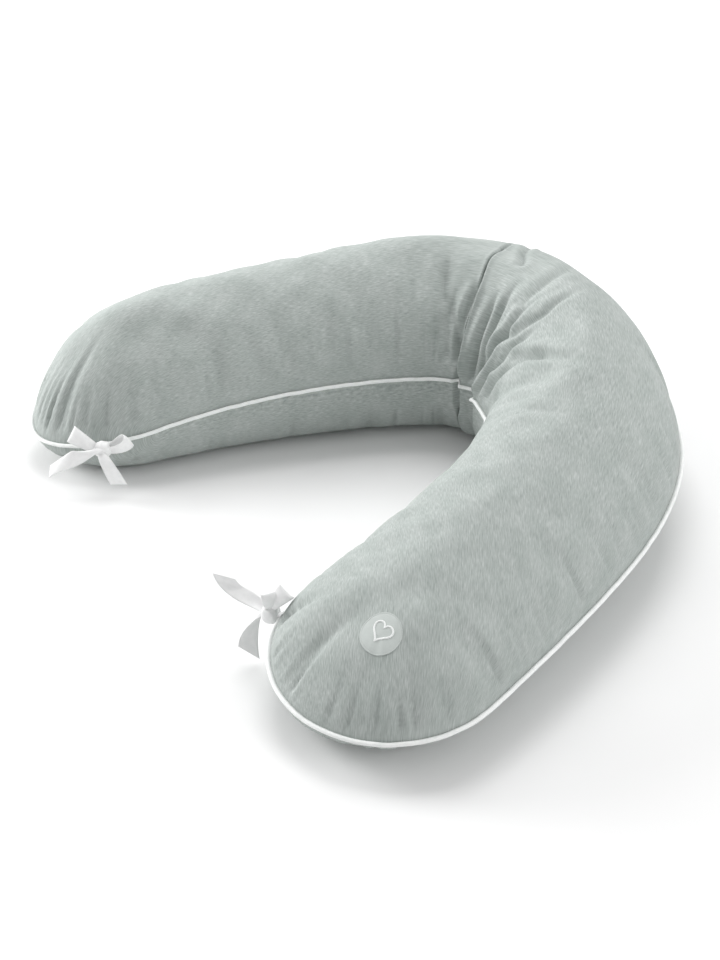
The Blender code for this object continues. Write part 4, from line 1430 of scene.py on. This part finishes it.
@dataclass
class Bow:
    """A ribbon bow beside the inner seam. Its frame is out from the seam, along it, and up."""

    bolster: Bolster
    finishes: Finishes
    name: str
    body: str
    station: float
    loops: dict[str, Loop]
    tails: dict[str, Tail]
    width: float = 0.026
    pinch: float = 0.6
    wall: float = 0.0006
    knot: tuple[float, float, float] = (0.015, 0.020, 0.022)
    knot_fullness: tuple[float, float, float] = (1.45, 1.25, 1.12)
    knot_roundness: float = 0.75
    offset: float = 0.019
    loop_space: float = 0.0040
    piping_radius: float = 0.0030
    anchor_width: float = 0.011

    def rim_point(self, s: float) -> Array:
        """The inner seam at a station, which curves round in the tips.

        Args:
            s: The station.

        Returns:
            A world point.
        """
        place = np.array([s])
        t = -np.sqrt(np.maximum(1.0 - self.bolster.past(place) ** 2, 0.0))
        x, y = self.bolster.plan(place, t)
        return np.array([x[0], y[0], self.bolster.seam_height(place, t)[0]])

    def axes(self) -> Array:
        """The bow's out, along and up directions, one to a row."""
        side = math.copysign(1.0, self.station)
        way = self.rim_point(self.station + side * 0.002) - self.rim_point(self.station - side * 0.002)
        along = unit(way * np.array([1.0, 1.0, 0.0]))
        return np.stack([np.cross(along, (0.0, 0.0, side)), along, (0.0, 0.0, 1.0)])

    def world(self, places: Array) -> Array:
        """World points from places out, along and up from the knot's middle."""
        axes = self.axes()
        return self.rim_point(self.station) + self.offset * axes[0] + places @ axes

    def strip(self, part: str, middle: Array, across: Array, width: Array, cup: Array,
              slant: float = 0.0, body: Optional[str] = None, rows: int = 10) -> bpy.types.Object:
        """A ribbon: a middle line widened both ways, cupped to an arch, with a slanted end.

        Args:
            part: Which part of the bow.
            middle: Points of its middle line, in the bow's frame.
            across: Unit directions of its width.
            width: Its width at each point.
            cup: How far the middle stands over the edges at each point.
            slant: How far one corner of the end runs past the other, as a share of the width.
            body: The body it rides on, if not the bow's own.
            rows: Points across.

        Returns:
            The piece.
        """
        v = np.linspace(-1.0, 1.0, rows)
        along = unit(np.gradient(middle, axis=0))
        normal = unit(np.cross(along, across))
        share = np.linspace(0.0, 1.0, len(middle)) ** 3
        points = (middle[:, None] + across[:, None] * (v[None, :, None] * width[:, None, None] / 2)
                  + normal[:, None] * ((1.0 - v ** 2)[None, :, None] * cup[:, None, None])
                  + along[:, None] * (slant * share[:, None] * v[None] * width[:, None] / 2)[..., None])
        length = np.cumsum(np.linalg.norm(np.diff(middle, axis=0, prepend=middle[:1]), axis=1))
        uv = np.stack(np.broadcast_arrays(length[:, None], v[None] * self.width / 2), axis=-1)
        piece = grid_piece(f"{self.name}_bow_{part}", self.world(points), self.finishes.ribbon, uv)
        thicken(piece, self.wall)
        self.stand_for(piece, part, body or self.body)
        return piece

    def stand_for(self, piece: bpy.types.Object, part: str, body: str) -> None:
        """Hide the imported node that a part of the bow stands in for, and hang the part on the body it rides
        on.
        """
        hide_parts(f"{self.name}_{part}")
        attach(piece, body)

    def make_loop(self, part: str, loop: Loop) -> None:
        """A loop: a Bezier curve out from one face of the knot and back, its width turning on the way.

        Args:
            part: Which loop.
            loop: Its sizes.
        """
        reach, across = unit(np.array(loop.reach)), unit(np.array(loop.across))
        axis = int(np.argmax(np.abs(reach) / np.array(self.knot)))
        normal = np.eye(3)[axis] * math.copysign(1.0, reach[axis])
        flat = unit(across - normal * (across @ normal))
        across = unit(across - reach * (across @ reach))
        start = normal * (self.knot[axis] / 2 - 0.0015)
        aside = np.cross(normal, flat) * self.loop_space / 2
        tip, apart = reach * loop.length, np.cross(reach, across) * loop.spread
        u = np.linspace(0.0, 1.0, 49)
        middle = bezier((start + aside, tip + apart, tip * 1.15 - apart, start - aside), u)
        far = 1.0 - np.abs(2.0 * u - 1.0)
        turned = unit(flat + (across - flat) * far[:, None])
        width = self.width * (self.pinch + (1.0 - self.pinch) * np.sin(0.5 * math.pi * far ** 0.8))
        cup = 0.0030 * np.sin(math.pi * far) * np.sign(0.5 - u)
        self.sheet(self.strip(part, middle, turned, width, cup), middle)

    def make_tail(self, part: str, tail: Tail) -> None:
        """A tail: a Bezier curve from the front of the knot, with a slanted cut end.

        Args:
            part: Which tail.
            tail: Its sizes.
        """
        front = np.array([self.knot[0] / 2 - 0.0005, 0.0, 0.0])
        u = np.linspace(0.0, 1.0, 33)
        middle = bezier(tail.route, u) + front
        begin, end = np.array(tail.start), np.array(tail.turned)
        turned = unit(begin + (end - begin) * smooth_step(u, 0.0, 1.0)[:, None])
        width = self.width * (0.5 + 0.5 * np.sin(0.5 * math.pi * u ** 0.9))
        cup = 0.0028 * (1.0 - u) ** 2 + 0.0010 * np.sin(3.0 * math.pi * u)
        self.sheet(self.strip(part, middle, turned, width, cup, tail.slant, f"{self.name}_{part}"), middle)

    def sheet(self, piece: bpy.types.Object, middle: Array) -> None:
        """Work out the length of a ribbon's middle line; nothing is done with it."""
        length = float(np.linalg.norm(np.diff(middle, axis=0), axis=1).sum())

    def make_knot(self) -> None:
        """The knot: rings from pole to pole of a superellipsoid, with the wrap's gathers round it."""
        lat = np.linspace(-0.5 * math.pi, 0.5 * math.pi, 26)[1:-1, None]
        lon = np.linspace(0.0, 2.0 * math.pi, 49)[None, :-1]
        half_out, half_along, half_up = (0.5 * size * full
                                         for size, full in zip(self.knot, self.knot_fullness))
        cos_lat, sin_lat, cos_lon, sin_lon = (signed_power(wave(angle), self.knot_roundness)
                                              for angle in (lat, lon) for wave in (np.cos, np.sin))
        out = half_out * cos_lat * cos_lon
        up = half_up * cos_lat * sin_lon
        along = np.broadcast_to(half_along * sin_lat, out.shape)
        gather = 1.0 + 0.045 * np.sin(lat * 9.0 + 0.6 * np.sin(lon)) + 0.03 * np.sin(2 * lon + 1.0)
        points = np.stack([out * gather, along, up * gather], axis=-1)
        piece = capped_tube(f"{self.name}_bow_knot", self.world(points), self.finishes.ribbon)
        map_by_place(piece)
        self.stand_for(piece, "knot", self.body)

    def make_anchor(self) -> None:
        """The strip that holds the bow to the seam: it comes out from over the piping to the knot."""
        inner, outer = -self.offset + self.piping_radius - 0.0010, -self.knot[0] / 2 + 0.001
        u = np.linspace(0.0, 1.0, 13)[:, None]
        middle = np.array([[inner, 0.0, 0.0035]]) * (1 - u) + np.array([[outer, 0.0, 0.001]]) * u
        across = np.broadcast_to(np.array([0.0, 1.0, 0.0]), middle.shape)
        piece = self.strip("anchor", middle, across, np.full(13, self.anchor_width), np.full(13, 0.0008))

    def build(self) -> None:
        """Make every part of the bow."""
        self.make_knot()
        self.make_anchor()
        for part, loop in self.loops.items():
            self.make_loop(part, loop)
        for part, tail in self.tails.items():
            self.make_tail(part, tail)


@dataclass
class Trims:
    """The zip and the care label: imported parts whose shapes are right, dressed where they lie."""

    finishes: Finishes

    def build(self) -> None:
        """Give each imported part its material, in every material slot."""
        dressed = {self.finishes.tape: ("zip_tape_upper", "zip_tape_lower"),
                   self.finishes.coil: ("zip_coil_upper", "zip_coil_lower"),
                   self.finishes.metal: ("zip_top_stop_upper", "zip_top_stop_lower", "zip_bottom_stop",
                                         "zip_slider", "zip_pull"),
                   self.finishes.label: ("care_label",)}
        for material, nodes in dressed.items():
            for name in nodes:
                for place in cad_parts[name].material_slots:
                    place.material = material


@dataclass
class Studio:
    """A wide pale floor, a soft light overhead and one on each side, and the camera."""

    origin: tuple[float, float]
    azimuth: float = math.radians(51.335)
    elevation: float = math.radians(31.327)
    stand: tuple[float, float, float] = (1.7676, -1.6099, 1.3897)
    lens: float = 88.55
    half_floor: float = 8.0
    # Name, place, side and power of each light.
    lights: tuple[tuple[str, tuple[float, float, float], float, float], ...] = (
        ("overhead", (-1.2, 1.2, 3.0), 2.4, 68.0), ("side", (3.4, 1.4, 1.5), 1.8, 44.0),
        ("far", (-3.1, -1.7, 1.4), 1.8, 108.0))
    glow: float = 0.58

    def floor(self) -> None:
        """A level sheet of pale vinyl, just under the pillow."""
        dye = Dye("floor_pale_vinyl", 0.9)
        haze = dye.noise(dye.place(False, (3.0, 3.0, 3.0)), 2.0, 0.5)
        dye.colour(dye.ramp(haze, ((0.3, "#F0F0F0"), (0.7, "#F3F3F3"))))
        x, y = np.meshgrid(*[np.linspace(-self.half_floor, self.half_floor, 9)] * 2, indexing="ij")
        points = np.stack([x, y, np.full(x.shape, -0.0002)], axis=-1)
        grid_piece("studio_floor", points, dye.material)

    def light(self, name: str, place: Sequence[float], size: float, power: float) -> None:
        """A square soft light that faces the pillow.

        Args:
            name: Its name.
            place: Where it hangs.
            size: Its side.
            power: Its power in watts.
        """
        lamp = bpy.data.lights.new(name, "AREA")
        lamp.size, lamp.energy = size, power
        thing = bpy.data.objects.new(name, lamp)
        thing.location = place
        thing.rotation_euler = (Vector((0.0, 0.0, 0.1)) - Vector(place)).to_track_quat("-Z", "Y").to_euler()
        bpy.context.scene.collection.objects.link(thing)

    def camera(self) -> None:
        """The camera, level and turned to the azimuth, at its own stand."""
        data = bpy.data.cameras.new("camera")
        data.sensor_fit, data.sensor_width, data.lens = "HORIZONTAL", 36.0, self.lens
        data.clip_end = 60.0
        thing = bpy.data.objects.new("camera", data)
        thing.location = (self.stand[0] + self.origin[0], self.stand[1] + self.origin[1], self.stand[2])
        thing.rotation_euler = (0.5 * math.pi - self.elevation, 0.0, self.azimuth)
        bpy.context.scene.collection.objects.link(thing)
        bpy.context.scene.camera = thing

    def build(self) -> None:
        """Set up everything that isn't the pillow."""
        self.floor()
        self.camera()
        for light in self.lights:
            self.light(*light)
        world = bpy.data.worlds.new("studio")
        world.use_nodes = True
        sky = world.node_tree.nodes["Background"].inputs
        sky["Color"].default_value = (1.0, 1.0, 1.0, 1.0)
        sky["Strength"].default_value = self.glow
        bpy.context.scene.world = world
        bpy.context.scene.view_settings.view_transform = "Standard"


# ---------------------------------------------------------------- the whole pillow

LEFT_LOOPS = {"loop_a": Loop((-0.05, 0.92, 0.50), (-0.43, -0.30, 0.85), 0.062, 0.013),
              "loop_b": Loop((0.15, -0.90, 0.45), (0.45, 0.10, 0.88), 0.054, 0.022)}
RIGHT_LOOPS = {"loop_a": Loop((-0.16, 0.24, 0.92), (0.60, 0.75, 0.10), 0.050, 0.016),
               "loop_b": Loop((-0.45, 0.05, 0.75), (0.74, -0.15, 0.50), 0.060, 0.017)}
LEFT_TAILS = {"tail_a": Tail(((0.0, 0.0, 0.003), (0.016, 0.016, 0.010), (0.022, 0.050, -0.004),
                              (0.014, 0.078, -0.028)), (-0.45, -0.40, 0.80), 0.5),
              "tail_b": Tail(((0.0, 0.0, -0.003), (0.018, -0.006, -0.004), (0.022, -0.018, -0.024),
                              (0.016, -0.024, -0.046)), (0.10, 1.0, 0.15), 0.15)}
RIGHT_TAILS = {"tail_a": Tail(((0.0, 0.0, 0.004), (0.026, -0.002, 0.016), (0.054, -0.004, 0.010),
                               (0.064, -0.004, 0.033)), (-0.95, -0.40, 0.10), -0.4, (0.0, -0.88, 0.45)),
               "tail_b": Tail(((0.0, 0.0, -0.003), (0.016, 0.004, -0.008), (0.018, 0.020, -0.028),
                               (0.012, 0.026, -0.052)), (0.80, 0.70, 0.0), -0.8)}


def main() -> None:
    """Build the pillow, sub-assembly by sub-assembly, and the studio round it."""
    logging.basicConfig(level=logging.INFO, format="%(message)s")
    bolster, finishes = Bolster(CREASE_PLACE), Finishes()
    inside = Inside(bolster, finishes)
    steps: list[tuple[str, Callable[[], None]]] = [
        ("studio", Studio(CREASE_PLACE).build),
        ("cover", Cover(bolster, finishes).build),
        ("piping", Piping(bolster, finishes).build),
        ("liner", inside.liner),
        ("filling", inside.fill),
        ("zip and label", Trims(finishes).build),
        ("patch", Patch(bolster, finishes).build),
        ("left bow", Bow(bolster, finishes, "left", "left_arm", -0.545, LEFT_LOOPS, LEFT_TAILS).build),
        ("right bow", Bow(bolster, finishes, "right", "right_arm", 0.658, RIGHT_LOOPS, RIGHT_TAILS).build),
    ]
    for name, build in steps:
        build()
        LOG.info("built the %s", name)


if __name__ == "__main__":
    main()
